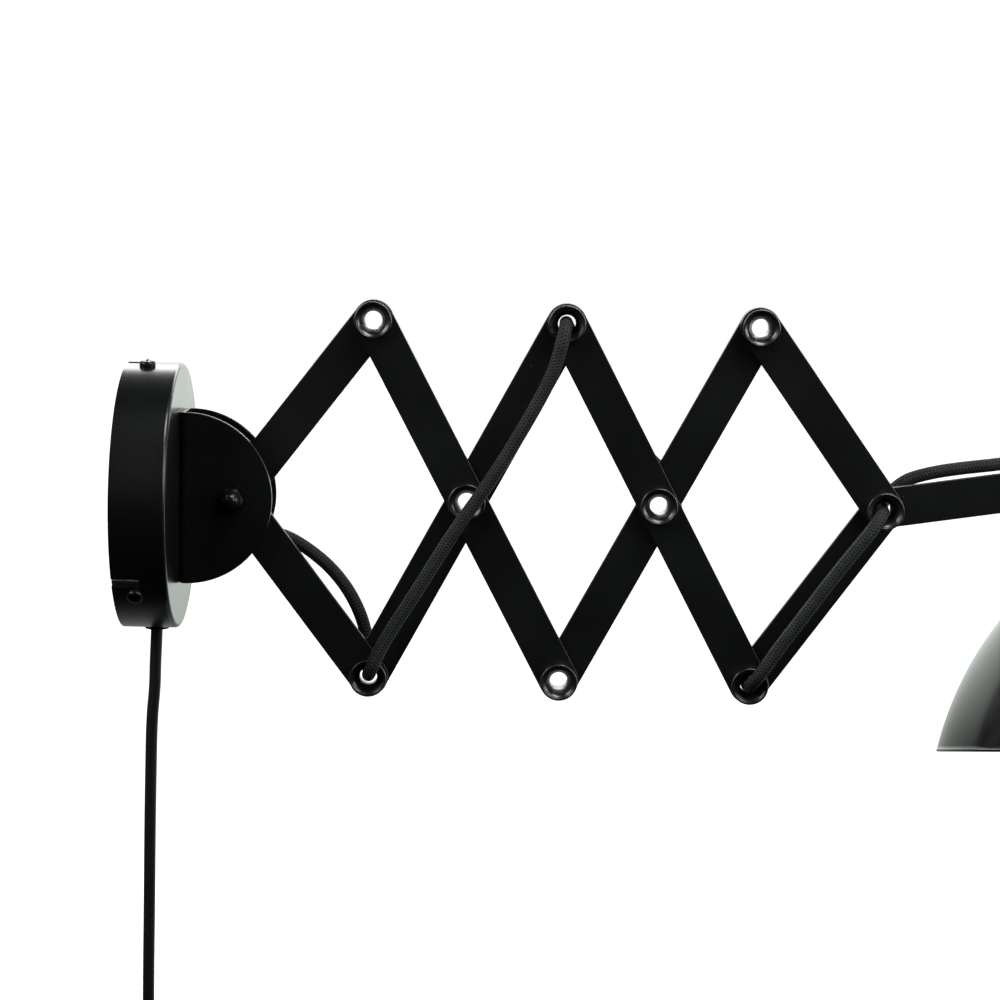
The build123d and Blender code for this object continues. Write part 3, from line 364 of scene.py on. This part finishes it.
finishes = dict(
    satin_black=satinPaint("satinBlackCoat"),
    bar_black=satinPaint("barBlackCoat", 0.36, specular=0.4),
    shade_black=satinPaint("shadeBlackCoat", 0.2, 0.2, 0.6),
    gloss_black=enamel("eyeletEnamel"),
    dark_fastener=blackOxide("blackOxide"),
    zinc_steel=zincPlate("zincPlate"),
    black_nylon=moulded("blackNylon", (0.006, 0.006, 0.0065), 0.45),
    white_nylon=moulded("naturalNylon", (0.62, 0.6, 0.54), 0.42),
    black_rubber=moulded("blackRubber", (0.005, 0.005, 0.005), 0.62, 1500.0, 0.00005, 0.3),
    black_braid=braid("leadBraid"),
    holder_black=moulded("holderPhenolic", (0.007, 0.0068, 0.0068), 0.28, 1400.0, 0.00002),
    nickel_brass=nickel("socketNickel"),
    black_pvc=sheath("cordSheath"),
    black_plastic=moulded("switchPlastic", (0.007, 0.007, 0.0075), 0.4, 3400.0, 0.00004),
    plug_nickel=nickel("pinNickel", (0.78, 0.77, 0.73)),
)
shadeInside = whiteEnamel("shadeInsideEnamel")
print("materials made:", len(finishes) + 1)


# shades a piece smooth, gives it the finish of its slot unless it has one, hangs it on its body's empty and hides
# the nodes it replaces
def finished(piece, slot, body, replaced=(), sharp=35.0):
    mesh = piece.data
    mesh.polygons.foreach_set("use_smooth", np.ones(len(mesh.polygons), bool))
    mesh.set_sharp_from_angle(angle=math.radians(sharp))
    if not mesh.materials:
        mesh.materials.append(finishes[slot])
    if body:
        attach(piece, body)
    if replaced:
        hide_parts(*replaced)
    return piece


def meshFrom(name, points, faces, uv=None):
    mesh = bpy.data.meshes.new(name)
    mesh.from_pydata(points.reshape(-1, 3), [], faces)
    if uv is not None:
        layer = mesh.uv_layers.new(name="lay")
        layer.data.foreach_set("uv", uv.astype(np.float32).ravel())
    mesh.update()
    piece = bpy.data.objects.new(name, mesh)
    bpy.context.scene.collection.objects.link(piece)
    return piece


# faces of a grid of rows by columns, closed round the columns, and round the rows too if asked
def gridFaces(rows, columns, closedRows=False):
    row = np.arange(rows if closedRows else rows - 1)[:, None]
    column = np.arange(columns)[None, :]
    nextRow, nextColumn = (row + 1) % rows, (column + 1) % columns
    corners = [row * columns + column, row * columns + nextColumn]
    corners += [nextRow * columns + nextColumn, nextRow * columns + column]
    return np.stack(corners, -1).reshape(-1, 4)


def circleCentre(a, b, c):
    return np.linalg.solve(2 * np.array([b - a, c - a]), [b @ b - a @ a, c @ c - a @ a])


# points on the circle through three points of a profile, as many as asked, both ends included
def arcThrough(a, b, c, count):
    a, b, c = (np.array(point, float) for point in (a, b, c))
    centre = circleCentre(a, b, c)
    first, middle, last = (math.atan2(*(p - centre)[::-1]) for p in (a, b, c))
    turn = (last - first) % (2 * math.pi)
    if (middle - first) % (2 * math.pi) > turn:
        turn -= 2 * math.pi
    angles = first + turn * np.linspace(0, 1, count)
    radius = np.linalg.norm(a - centre)
    return centre + radius * np.stack([np.cos(angles), np.sin(angles)], -1)


# a closed profile of (radius, height) turned round an axis: point = centre + axis * height
# + radius * (across * cos(turn) + over * sin(turn)), for every profile point and every turn
def turnedSurface(profile, centre, axis, around):
    axis = np.array(axis, float)
    across = np.array([1.0, 0, 0]) if abs(axis[0]) < 0.5 else np.array([0, 0, 1.0])
    across = across - axis * (across @ axis)
    across /= np.linalg.norm(across)
    over = np.cross(axis, across)
    turn = 2 * np.pi * np.arange(around) / around
    ring = np.cos(turn)[:, None] * across + np.sin(turn)[:, None] * over
    radius, height = profile[:, 0], profile[:, 1]
    points = np.array(centre) + height[:, None, None] * axis + radius[:, None, None] * ring
    return points, gridFaces(len(profile), around, closedRows=True)


def joined(parts):
    offset, allPoints, allFaces = 0, [], []
    for points, faces in parts:
        allPoints.append(points.reshape(-1, 3))
        allFaces.append(faces + offset)
        offset += len(allPoints[-1])
    return np.concatenate(allPoints), np.concatenate(allFaces)


def outwards(piece):
    bpy.context.view_layer.objects.active = piece
    piece.select_set(True)
    bpy.ops.object.mode_set(mode="EDIT")
    bpy.ops.mesh.select_all(action="SELECT")
    bpy.ops.mesh.normals_make_consistent(inside=False)
    bpy.ops.object.mode_set(mode="OBJECT")
    piece.select_set(False)
    return piece


# a smooth line through space with the route's points as its control points
def splineOf(name, route):
    curve = bpy.data.curves.new(name, "CURVE")
    curve.dimensions = "3D"
    curve.resolution_u = 12
    spline = curve.splines.new("NURBS")
    spline.points.add(len(route) - 1)
    for point, place in zip(spline.points, route):
        point.co = (*place, 1)
    spline.order_u = 3
    spline.use_endpoint_u = True
    line = bpy.data.objects.new(name, curve)
    bpy.context.scene.collection.objects.link(line)
    return line


def lineOf(route, name):
    line = splineOf(name, route)
    bpy.context.view_layer.update()
    mesh = bpy.data.meshes.new_from_object(line.evaluated_get(bpy.context.evaluated_depsgraph_get()))
    found = np.empty(len(mesh.vertices) * 3)
    mesh.vertices.foreach_get("co", found)
    bpy.data.meshes.remove(mesh)
    bpy.data.objects.remove(line)
    return found.reshape(-1, 3)


# evenly spaced points on a line, by its running length
def evenly(line, step):
    runs = np.linalg.norm(np.diff(line, axis=0), axis=1)
    keep = np.concatenate([[True], runs > 1e-9])
    line = line[keep]
    travelled = np.concatenate([[0], np.cumsum(np.linalg.norm(np.diff(line, axis=0), axis=1))])
    count = max(3, int(round(travelled[-1] / step)) + 1)
    wanted = np.linspace(0, travelled[-1], count)
    return np.stack([np.interp(wanted, travelled, line[:, k]) for k in range(3)], -1), wanted


# a tube round a line: each ring lies square to the line, carried on from the ring before it with
# the least turn, point = line + radius * (side * cos + over * sin); its UV is turns and metres
def tubeMesh(name, route, radius, step, around):
    line, travelled = evenly(lineOf(route, name + "Line"), step)
    heading = np.gradient(line, axis=0)
    heading /= np.linalg.norm(heading, axis=1)[:, None]
    side = np.empty_like(line)
    start = np.cross(heading[0], [0.0, 0.0, 1.0])
    if np.linalg.norm(start) < 0.3:
        start = np.cross(heading[0], [0.0, 1.0, 0.0])
    side[0] = start / np.linalg.norm(start)
    for i in range(1, len(line)):
        carried = side[i - 1] - heading[i] * (side[i - 1] @ heading[i])
        side[i] = carried / np.linalg.norm(carried)
    over = np.cross(heading, side)
    turn = 2 * np.pi * np.arange(around) / around
    ring = np.cos(turn)[:, None] * side[:, None, :] + np.sin(turn)[:, None] * over[:, None, :]
    points = line[:, None, :] + radius * ring
    faces = gridFaces(len(line), around)
    first, last = line[0], line[-1]
    allPoints = np.concatenate([points.reshape(-1, 3), [first, last]])
    base, end = len(allPoints) - 2, len(allPoints) - 1
    nextTurn = (np.arange(around) + 1) % around
    lastRow = (len(line) - 1) * around
    startCap = np.stack([np.full(around, base), nextTurn, np.arange(around)], -1)
    endCap = np.stack([np.full(around, end), lastRow + np.arange(around), lastRow + nextTurn], -1)
    row = np.repeat(np.arange(len(line) - 1), around)
    column = np.tile(np.arange(around), len(line) - 1)
    u = np.stack([column, column + 1, column + 1, column], -1) / around
    v = travelled[np.stack([row, row, row + 1, row + 1], -1)]
    sides = np.stack([u, v], -1).reshape(-1, 2)
    caps = np.zeros((2 * around * 3, 2))
    caps[around * 3:, 1] = travelled[-1]
    uv = np.concatenate([sides, caps])
    piece = meshFrom(name, allPoints, faces.tolist() + startCap.tolist() + endCap.tolist(), uv)
    return piece, line


def inMetres(route):
    return [tuple(value * mm for value in point) for point in route]


# the mains cord in mm, from the canopy's clamp to the inline switch
cord = dict(
    diameter=5.4,
    route=[
        (13.3, 0.0, -43.0),
        (13.3, 0.0, -61.0),
        (12.55, 0.2, -77.0),
        (12.5, -0.2, -88.0),
        (11.1, 0.0, -103.0),
        (10.7, 0.3, -124.0),
        (10.4, -0.1, -155.0),
        (10.2, 0.2, -194.0),
        (10.0, 0.0, -219.0),
        (10.0, 0.0, -244.0),
    ],
    exitPoint=(13.3, 0.0, -61.3),
    length=201,
    step=1.6 * mm,
    around=28,
)
# the rest of it in mm, wound up and put away below the switch
coil = dict(
    inner=27.0,  # radius of the innermost turn's centreline
    step=3.35,  # how much the radius changes in half a turn
    layer=6.2,  # from one layer to the next, along the axis
    firstX=6.0,
    layers=4,
    halves=3,  # half turns in a layer, and fewer in the last
    lastHalves=2.25,
    startAngle=45.0,
    belowSwitch=62.0,  # the switch's length
    leadIn=27.7,  # from the switch down to the first turn, and sideways
    leadInSide=10.9,
    leadOut=34.0,  # from the last turn down to the plug
    perTurn=24,  # points of the spline
    around=20,
    length=1475,
)


# the coil's centreline: radius and layer change in turn, half a turn at a time, round an axis
# along X; a point is (x, y0 + r sin(angle), z0 + r cos(angle))
def coilRoute():
    c = coil
    outer = c["inner"] + c["step"] * c["halves"]
    start = math.radians(c["startAngle"])
    top = cord["route"][-1][2] - c["belowSwitch"]
    z0 = top - c["leadIn"] - outer * math.cos(start)
    y0 = c["leadInSide"] - outer * math.sin(start)
    changes = []
    for layer in range(c["layers"]):
        count = c["halves"] if layer < c["layers"] - 1 else c["lastHalves"]
        changes.append((count, -c["step"] if layer % 2 == 0 else c["step"], 0.0))
        if layer < c["layers"] - 1:
            changes.append((1, 0.0, c["layer"]))
    total = sum(count for count, _, _ in changes)
    turned = np.linspace(0, total, int(total * c["perTurn"] / 2) + 1)
    radius, x, left = np.full(len(turned), outer), np.full(len(turned), c["firstX"]), turned.copy()
    for count, growth, climb in changes:
        done = np.clip(left, 0, count)
        radius, x, left = radius + growth * done, x + climb * done, left - count
    angle = start + np.pi * turned
    turns = np.stack([x, y0 + radius * np.sin(angle), z0 + radius * np.cos(angle)], -1)
    slack = [(10.0, 0.0, top), (10.0, 0.0, top - 5.4), (9.0, 1.6, top - 14.0)]
    out = [tuple(turns[-1] + np.array([0, 0, -drop])) for drop in (10.0, 20.0, c["leadOut"])]
    return slack + [tuple(point) for point in turns] + out


def declareCords():
    radius = cord["diameter"] / 2 * mm
    route = inMetres(cord["route"])
    mains, line = tubeMesh("mainsCord", route, radius, cord["step"], cord["around"])
    finished(mains, "black_pvc", "wall_unit", ["mains_cord"])
    inMetres([cord["exitPoint"]])[0]
    put = inMetres(coilRoute())
    wound, woundLine = tubeMesh("cordCoil", put, radius, cord["step"], coil["around"])
    finished(wound, "black_pvc", "wall_unit", ["cord_coil"])
    print("mains cord made")


declareCords()

# the pivots in mm, and the textile lead that is threaded through them
pin = {name: jointAt[joint] / mm for name, joint in dict(
    bottom1="fold_bottom_1", top2="fold_top_2", bottom3="fold_bottom_3", end="fold_end_pin",
    centre2="fold_centre_2", wall="arm_swing", head="shade_tilt", lean="shade_lean",
).items()}
lead = dict(
    diameter=6.0,
    over=11.5,  # how far the lead lies in front of or behind the middle of the bars
    overEnd=14.3,
    side=6.6,
    entry=(2.0, -14.0),  # the bushing's y and z
    barAngle=61.9,  # degrees, of the bars that fall to the right
    # how far the lead lies off each bore's middle, to the right and up
    lie=dict(bottom1=(0.0, 0.8), top2=(-0.35, 0.35), bottom3=(-0.4, -0.6), end=(-0.55, -0.55)),
    blockTop=-4.0,  # where it starts in the terminal block
    blockX=9.0,
    blockSide=-11.0,
    blockRise=18.0,  # how far it climbs before it turns over
    entrySide=15.0,  # where it comes down, behind the bushing
    entryFront=30.8,  # where it leaves the bushing
    splitReach=9.0,  # above the gland: where the arm's stretch ends
    hangReach=21.0,
    step=0.8 * mm,
    around=40,
)
lead["split"] = (pin["wall"].x - 5.0, lead["side"], lead["entry"][1] - 1.0)
head = dict(
    tilt=1.0,  # degrees about Y at rest
    lean=12.7,  # degrees about X at rest
    capTop=-8.2,  # mm from the lean screw, up
    capHeight=16.1,
    glandSide=11.0,
    glandHeight=7.0,
    leadStraight=7.5,
)
tiltTurn = Matrix.Rotation(math.radians(-head["tilt"]), 3, "Y")
headTurn = tiltTurn @ Matrix.Rotation(math.radians(-head["lean"]), 3, "X")


# a point of the lamp head, in mm from the lean screw, where the head's lean and tilt take it
def inHead(x, y, z):
    return tuple(pin["lean"] + headTurn @ Vector((x, y, z)))


# the point s down the bar that falls through the middle of cross 2, and w to its upper right
def besideCentre2(s, w):
    angle = math.radians(lead["barAngle"])
    across, down = math.cos(angle), math.sin(angle)
    centre = pin["centre2"]
    return (centre.x + s * across + w * down, lead["over"], centre.z - s * down + w * across)


# each stretch: name, bodies it rides on, the CAD node it stands for, its route in mm, and where it
# starts and ends to bend from one body to the next
def leadStretches():
    o, side, (entryY, entryZ), split = lead["over"], lead["side"], lead["entry"], lead["split"]
    b1, t2, b3, e = (pin[key] + Vector((x, 0, z)) for key, (x, z) in lead["lie"].items())
    top = pin["head"]
    blockX, blockTop, behind = lead["blockX"], lead["blockTop"], entryY + lead["entrySide"]
    turnZ = blockTop + lead["blockRise"]
    entry = [
        (blockX, lead["blockSide"], blockTop), (blockX, lead["blockSide"], turnZ), (blockX, behind, turnZ),
        (blockX, behind, entryZ), (blockX, entryY, entryZ), (lead["entryFront"], entryY, entryZ),
        (split[0] - 5.5, side, entryZ - 0.45), split,
    ]
    toBottom1 = [
        split, (split[0] + 12, side, entryZ - 2.2), (69.2, side + 0.6, -17.6),
        (81.0, side + 2.2, -24.4), (92.6, o - 1.4, -34.2), (101.8, o - 0.4, -46.8),
        (108.0, o, -62.0), (b1.x, o, b1.z), (b1.x, 0, b1.z),
    ]
    toTop2 = [
        (b1.x, 0, b1.z), (b1.x, -o, b1.z), (116.6, -o, -64.0), (131.4, -o - 0.3, -40.6),
        (147.6, -o - 0.6, -12.8), (165.2, -o - 0.6, 12.6), (180.6, -o - 0.4, 39.0),
        (191.8, -o - 0.2, 61.0), (t2.x, -o, t2.z), (t2.x, 0, t2.z),
    ]
    toBottom3 = [
        (t2.x, 0, t2.z), (t2.x, o, t2.z), (t2.x + 19.6, o, t2.z - 40), besideCentre2(-24.0, 4.5),
        besideCentre2(-7.0, 10.0), besideCentre2(7.0, 6.0), besideCentre2(24.0, 3.0),
        (b3.x - 20.4, o, b3.z + 36.4), (b3.x, o, b3.z), (b3.x, 0, b3.z),
    ]
    toEnd = [
        (b3.x, 0, b3.z), (b3.x, -o, b3.z), (b3.x + 11.6, -o, b3.z + 18),
        (b3.x + 24.4, -o - 0.3, b3.z + 36), (b3.x + 38.2, -o - 0.2, b3.z + 55.4),
        (e.x, -o, e.z), (e.x, 0, e.z),
    ]
    gland, hang = head["capTop"] + head["glandHeight"], Vector((0, 0.04, -1))
    inGland = inHead(0, head["glandSide"], gland)
    overGland = inHead(0, head["glandSide"], gland + head["leadStraight"])
    reaches = lead["splitReach"], lead["hangReach"]
    splitHead, above = (tuple(Vector(overGland) - reach * hang) for reach in reaches)
    oe = lead["overEnd"]
    onArm = [
        (e.x, 0, e.z), (e.x, oe, e.z), (e.x + 10, oe - 0.3, 11.5), (e.x + 22, oe - 1.2, 15.6),
        (e.x + 36, oe - 1.7, 18.2), (e.x + 54, oe - 1.8, 20.4), (e.x + 74, oe - 0.4, 23.6),
        (e.x + 94, oe + 0.3, 27.8), (top.x - 11, oe + 0.7, top.z + 10.9), above, splitHead,
    ]
    toHead = [splitHead, overGland, inGland]
    bendEnd = (80, side, -25)
    return [
        ("leadEntry", ("wall_unit", "swing_hub"), "lead_entry", entry, (entry[5], split)),
        ("leadToBottom1", ("swing_hub", "bar_1_lower"), "lead_to_bottom_1", toBottom1, (split, bendEnd)),
        ("leadToTop2", ("bar_2_back",), "lead_to_top_2", toTop2, None),
        ("leadToBottom3", ("bar_3_front",), "lead_to_bottom_3", toBottom3, None),
        ("leadToEnd", ("bar_4_lower",), "lead_to_end", toEnd, None),
        ("leadOnArm", ("arm", "knuckle"), "lead_on_arm", onArm, (onArm[7], splitHead)),
        ("leadToHead", ("knuckle", "head"), "lead_to_head", toHead, (splitHead, inGland)),
    ]


def makeLeads():
    for name, riders, node, route, turn in leadStretches():
        radius = lead["diameter"] / 2 * mm
        piece, line = tubeMesh(name, inMetres(route), radius, lead["step"], lead["around"])
        finished(piece, "black_braid", None if turn else riders[0], [node])
        if turn:
            start, end = inMetres(turn)
            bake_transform(piece)
        length = np.linalg.norm(np.diff(line, axis=0), axis=1).sum() / mm
        print(f"{name}: {length:.0f} mm")


makeLeads()

# the trumpet eyelets, in mm
eyelet = dict(
    bore=4.05,
    tube=4.8,
    seatRadius=6.6,
    lip=8.4,
    lipInside=7.2,
    throat=5.2,
    height=5.5,  # of the trumpet above its seat
    lipHeight=0.75,
    throatDepth=3.1,
    mouthAcross=0.4,  # the halfway point of the rounded mouth, as shares of its width and depth
    mouthDeep=0.52,
    boreDepth=4.9,
    waistAcross=0.35,  # the waist of the flare, as shares of its width and height
    waistUp=0.62,
    arcPoints=12,
    ringBore=4.82,
    around=112,
)


# the trumpet's profile from its tail round the flare, over the lip and down the throat
def trumpetProfile(seat, tail, inside):
    e = eyelet
    top = seat + e["height"]
    tube = e["tube"] if inside < e["tube"] else e["seatRadius"]
    foot = [(inside, tail), (tube, tail), (tube, seat)]
    if tube < e["seatRadius"]:
        foot.append((e["seatRadius"], seat))
    flare, rise = e["lip"] - e["seatRadius"], e["height"] - e["lipHeight"]
    waist = (e["seatRadius"] + e["waistAcross"] * flare, seat + e["waistUp"] * rise)
    lipLow = (e["lip"], top - e["lipHeight"])
    crest = ((e["lip"] + e["lipInside"]) / 2, top)
    lipIn = (e["lipInside"], top - 0.8 * e["lipHeight"])
    mouth = e["lipInside"] - e["throat"]
    dish = (e["throat"] + e["mouthAcross"] * mouth, top - e["mouthDeep"] * e["throatDepth"])
    throat = (e["throat"], top - e["throatDepth"])
    shape = [
        foot,
        arcThrough((e["seatRadius"], seat), waist, lipLow, e["arcPoints"])[1:],
        arcThrough(lipLow, crest, lipIn, e["arcPoints"])[1:],
        arcThrough(lipIn, dish, throat, e["arcPoints"])[1:],
        [(inside, top - e["boreDepth"])],
    ]
    return np.concatenate([np.array(points, float) for points in shape]) * mm


def makeEyelets():
    e = eyelet
    bodies = frame["record"]["behaviour"]["bodies"]
    bodyOf = {name: body for body, members in bodies.items() for name in members}
    bushes = [name for name in nodes if name.startswith("eyelet_") and "rings" not in name]
    places = {}
    for node in bushes:
        low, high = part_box(node)
        places[node] = Vector(((low.x + high.x) / 2, 0, (low.z + high.z) / 2))
        seat = -low.y / mm - e["height"]
        profile = trumpetProfile(seat, -high.y / mm, e["bore"])
        points, faces = turnedSurface(profile, places[node], (0, -1, 0), e["around"])
        piece = outwards(meshFrom("ferrule_" + node.removeprefix("eyelet_"), points, faces.tolist()))
        finished(piece, "gloss_black", bodyOf[node], [node], 40)
    for node in [name for name in nodes if "rings" in name]:
        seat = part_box(node)[1].y / mm - e["height"]
        profile = trumpetProfile(seat, seat, e["ringBore"])
        mine = [place for bush, place in places.items() if bodyOf[bush] == bodyOf[node]]
        points, faces = joined([turnedSurface(profile, place, (0, 1, 0), e["around"]) for place in mine])
        piece = outwards(meshFrom("backRings_" + node.removeprefix("eyelet_rings_"), points, faces.tolist()))
        finished(piece, "gloss_black", bodyOf[node], [node], 40)
    print("eyelets made:", len(places))


makeEyelets()

# the shade, in mm
shade = dict(
    rim=94.0,
    middle=(81.3, 34.0),  # radius and height above the rim
    shoulder=(64.6, 60.0),
    top=(26.0, 82.0),
    hole=20.1,
    wall=1.0,
    bead=1.1,
    beadStart=130,  # degrees, where the rolled rim leaves the inner wall
    flankPoints=48,
    crownPoints=24,
    beadPoints=14,
    around=224,
)


# the outer wall from the rim to the flat crown: a long arc, then a tighter one that leaves it
# smoothly, of radius v.v / (2 v.inward) where v runs from the shoulder to the crown's edge
def shadeOutline():
    rim = np.array([shade["rim"], 0.0])
    middle, shoulder, top = (np.array(shade[key]) for key in ("middle", "shoulder", "top"))
    inward = circleCentre(rim, middle, shoulder) - shoulder
    inward /= np.linalg.norm(inward)
    across = top - shoulder
    radius = across @ across / (2 * across @ inward)
    centre = shoulder + radius * inward
    halfway = (shoulder + top) / 2 - centre
    crest = centre + radius * halfway / np.linalg.norm(halfway)
    flank = arcThrough(rim, middle, shoulder, shade["flankPoints"])
    return np.concatenate([flank, arcThrough(shoulder, crest, top, shade["crownPoints"])[1:]])


# the bell's profile: outer wall from rim to crown, the inner wall a sheet's thickness inside it
# along its normals, and a rolled rim
def shadeProfile():
    s, b = shade, shade["bead"]
    outline = shadeOutline()
    along = np.gradient(outline, axis=0)
    along /= np.linalg.norm(along, axis=1)[:, None]
    inner = outline - s["wall"] * np.stack([along[:, 1], -along[:, 0]], -1)
    height = s["top"][1]
    outside = np.concatenate([outline[outline[:, 1] > 1.2 * b], [(s["hole"], height)]])
    inside = np.concatenate([[(s["hole"], height - s["wall"])], inner[inner[:, 1] > 2 * b][::-1]])
    turn = np.linspace(math.radians(s["beadStart"]), 2 * math.pi, s["beadPoints"])
    roll = np.stack([s["rim"] - b + b * np.cos(turn), b + b * np.sin(turn)], -1)
    return np.concatenate([outside, inside, roll]) * mm, len(outside), len(outside) + len(inside)


def makeShade():
    centre = np.array(inHead(0, 0, head["capTop"] - head["capHeight"] - shade["top"][1])) * mm
    profile, outsideEnd, insideEnd = shadeProfile()
    points, faces = turnedSurface(profile, centre, headTurn @ Vector((0, 0, 1)), shade["around"])
    low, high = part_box("shade")
    spread = points.reshape(-1, 3)
    drift = max(abs(spread.min(0) - low).max(), abs(spread.max(0) - high).max())
    print(f"shade bell off its CAD solid's box by {drift / mm:.2f} mm")
    piece = meshFrom("shadeBell", points, faces.tolist())
    piece.data.materials.append(finishes["shade_black"])
    piece.data.materials.append(shadeInside)
    row = np.arange(len(piece.data.polygons)) // shade["around"]
    white = (row >= outsideEnd) & (row < insideEnd)
    piece.data.polygons.foreach_set("material_index", white.astype(int))
    outwards(piece)
    finished(piece, "shade_black", "head", ["shade"], 50)
    print("shade made")


makeShade()


def dressNodes():
    slotOf = {part["node"]: part["material_slot"] for part in frame["record"]["subparts"]}
    for name, node in nodes.items():
        node.data.materials.clear()
        node.data.materials.append(finishes[slotOf[name]])


dressNodes()

# a lit white backdrop
studio = dict(
    white=(1.0, 1.0, 1.0),
    backGlow=2.0,  # what the glossy paint mirrors from behind the lamp
    backTint=(0.93, 1.0, 0.93),
    frontGlow=0.024,  # and from the viewer's side
    lowGlow=0.2,  # the share of it that is left below the lamp
    highGlow=0.12,  # and above the lamp
    lowerLeft=0.4,  # how much earlier it fades towards the left
    acrossFade=(0.0, 0.95),  # where each fade starts and ends, as parts of a direction
    lowFade=(-0.3, 0.1),
    highFade=(0.4, 0.8),
    floorHalf=8.0,
    floorZ=-0.52,
    floorTones=((0.86, 0.86, 0.86), (0.9, 0.9, 0.9)),
    floorGlow=0.95,
)


# white to the camera; to the lamp, bright behind and nearly dark in front, as on a lit backdrop
def makeWorld():
    world = bpy.data.worlds.new("studio")
    bpy.context.scene.world = world
    world.use_nodes = True
    tree = world.node_tree
    tree.nodes.clear()

    def add(kind, **settings):
        made = tree.nodes.new(kind)
        for key, value in settings.items():
            setattr(made, key, value)
        return made

    coords, split = add("ShaderNodeTexCoord"), add("ShaderNodeSeparateXYZ")
    tree.links.new(coords.outputs["Generated"], split.inputs[0])

    def fade(value, first, last, low, high):
        made = add("ShaderNodeMapRange", interpolation_type="SMOOTHSTEP")
        tree.links.new(value, made.inputs["Value"])
        for key, value in {"From Min": first, "From Max": last, "To Min": low, "To Max": high}.items():
            made.inputs[key].default_value = value
        return made

    def times(first, second):
        made = add("ShaderNodeMath", operation="MULTIPLY")
        tree.links.new(first.outputs[0], made.inputs[0])
        tree.links.new(second.outputs[0], made.inputs[1])
        return made

    ahead = fade(split.outputs["Y"], *studio["acrossFade"], studio["frontGlow"], studio["backGlow"])
    slanted = add("ShaderNodeMath", operation="MULTIPLY_ADD")
    tree.links.new(split.outputs["X"], slanted.inputs[0])
    slanted.inputs[1].default_value = studio["lowerLeft"]
    tree.links.new(split.outputs["Z"], slanted.inputs[2])
    below = fade(slanted.outputs[0], *studio["lowFade"], studio["lowGlow"], 1.0)
    over = fade(split.outputs["Z"], *studio["highFade"], 1.0, studio["highGlow"])
    both = times(times(ahead, below), over)
    lit, seen = add("ShaderNodeBackground"), add("ShaderNodeBackground")
    lit.inputs["Color"].default_value = (*studio["backTint"], 1)
    tree.links.new(both.outputs[0], lit.inputs["Strength"])
    seen.inputs["Color"].default_value = (*studio["white"], 1)
    path, mix = add("ShaderNodeLightPath"), add("ShaderNodeMixShader")
    end = add("ShaderNodeOutputWorld")
    tree.links.new(path.outputs["Is Camera Ray"], mix.inputs[0])
    tree.links.new(lit.outputs[0], mix.inputs[1])
    tree.links.new(seen.outputs[0], mix.inputs[2])
    tree.links.new(mix.outputs[0], end.inputs[0])


lights = dict(
    overhead=dict(place=(0.5, -0.36, 1.0), aim=(0.3, 0, 0), size=(0.62, 0.34), power=8.5),
    rightSoftbox=dict(place=(1.15, -0.95, 0.75), aim=(0.2, 0, 0), size=(0.35, 0.8), power=6.0),
    leftSoftbox=dict(place=(-0.75, -0.9, 0.5), aim=(0.15, 0, 0), size=(0.4, 0.7), power=4.5),
    leftSide=dict(place=(-0.75, -0.25, 0.62), aim=(0.2, 0, 0.05), size=(0.4, 0.5), power=5.5),
    rightSide=dict(place=(1.3, -0.26, 0.3), aim=(0.2, 0, 0.05), size=(0.4, 0.5), power=5.0),
    backSoftbox=dict(place=(0.25, 0.95, 0.62), aim=(0.25, 0, 0), size=(1.2, 0.3), power=6.0),
)


def makeLights():
    for name, light in lights.items():
        data = bpy.data.lights.new(name, "AREA")
        data.shape = "RECTANGLE"
        data.size, data.size_y = light["size"]
        data.energy = light["power"]
        lamp = bpy.data.objects.new(name, data)
        bpy.context.scene.collection.objects.link(lamp)
        away = Vector(light["place"]) - Vector(light["aim"])
        turn = away.to_track_quat("Z", "Y").to_matrix().to_4x4()
        lamp.matrix_world = Matrix.Translation(light["place"]) @ turn
    print("lights made:", len(lights))


def makeFloor():
    half, z = studio["floorHalf"], studio["floorZ"]
    points = np.array([(-half, -half, z), (half, -half, z), (half, half, z), (-half, half, z)])
    floor = meshFrom("studioFloor", points, [(0, 1, 2, 3)])
    p = Paint("paleFloor")
    floor.data.materials.append(p.shader(
        Base_Color=p.mix(p.noise(3.0, 3.0), *studio["floorTones"]),
        Roughness=0.8,
        Emission_Color=(1, 1, 1, 1),
        Emission_Strength=studio["floorGlow"],
    ))
    floor.visible_glossy = False
    floor.visible_diffuse = False


makeWorld()
makeLights()
makeFloor()
bpy.context.scene.view_settings.view_transform = "Standard"
bpy.context.scene.view_settings.look = "None"
print("studio made")
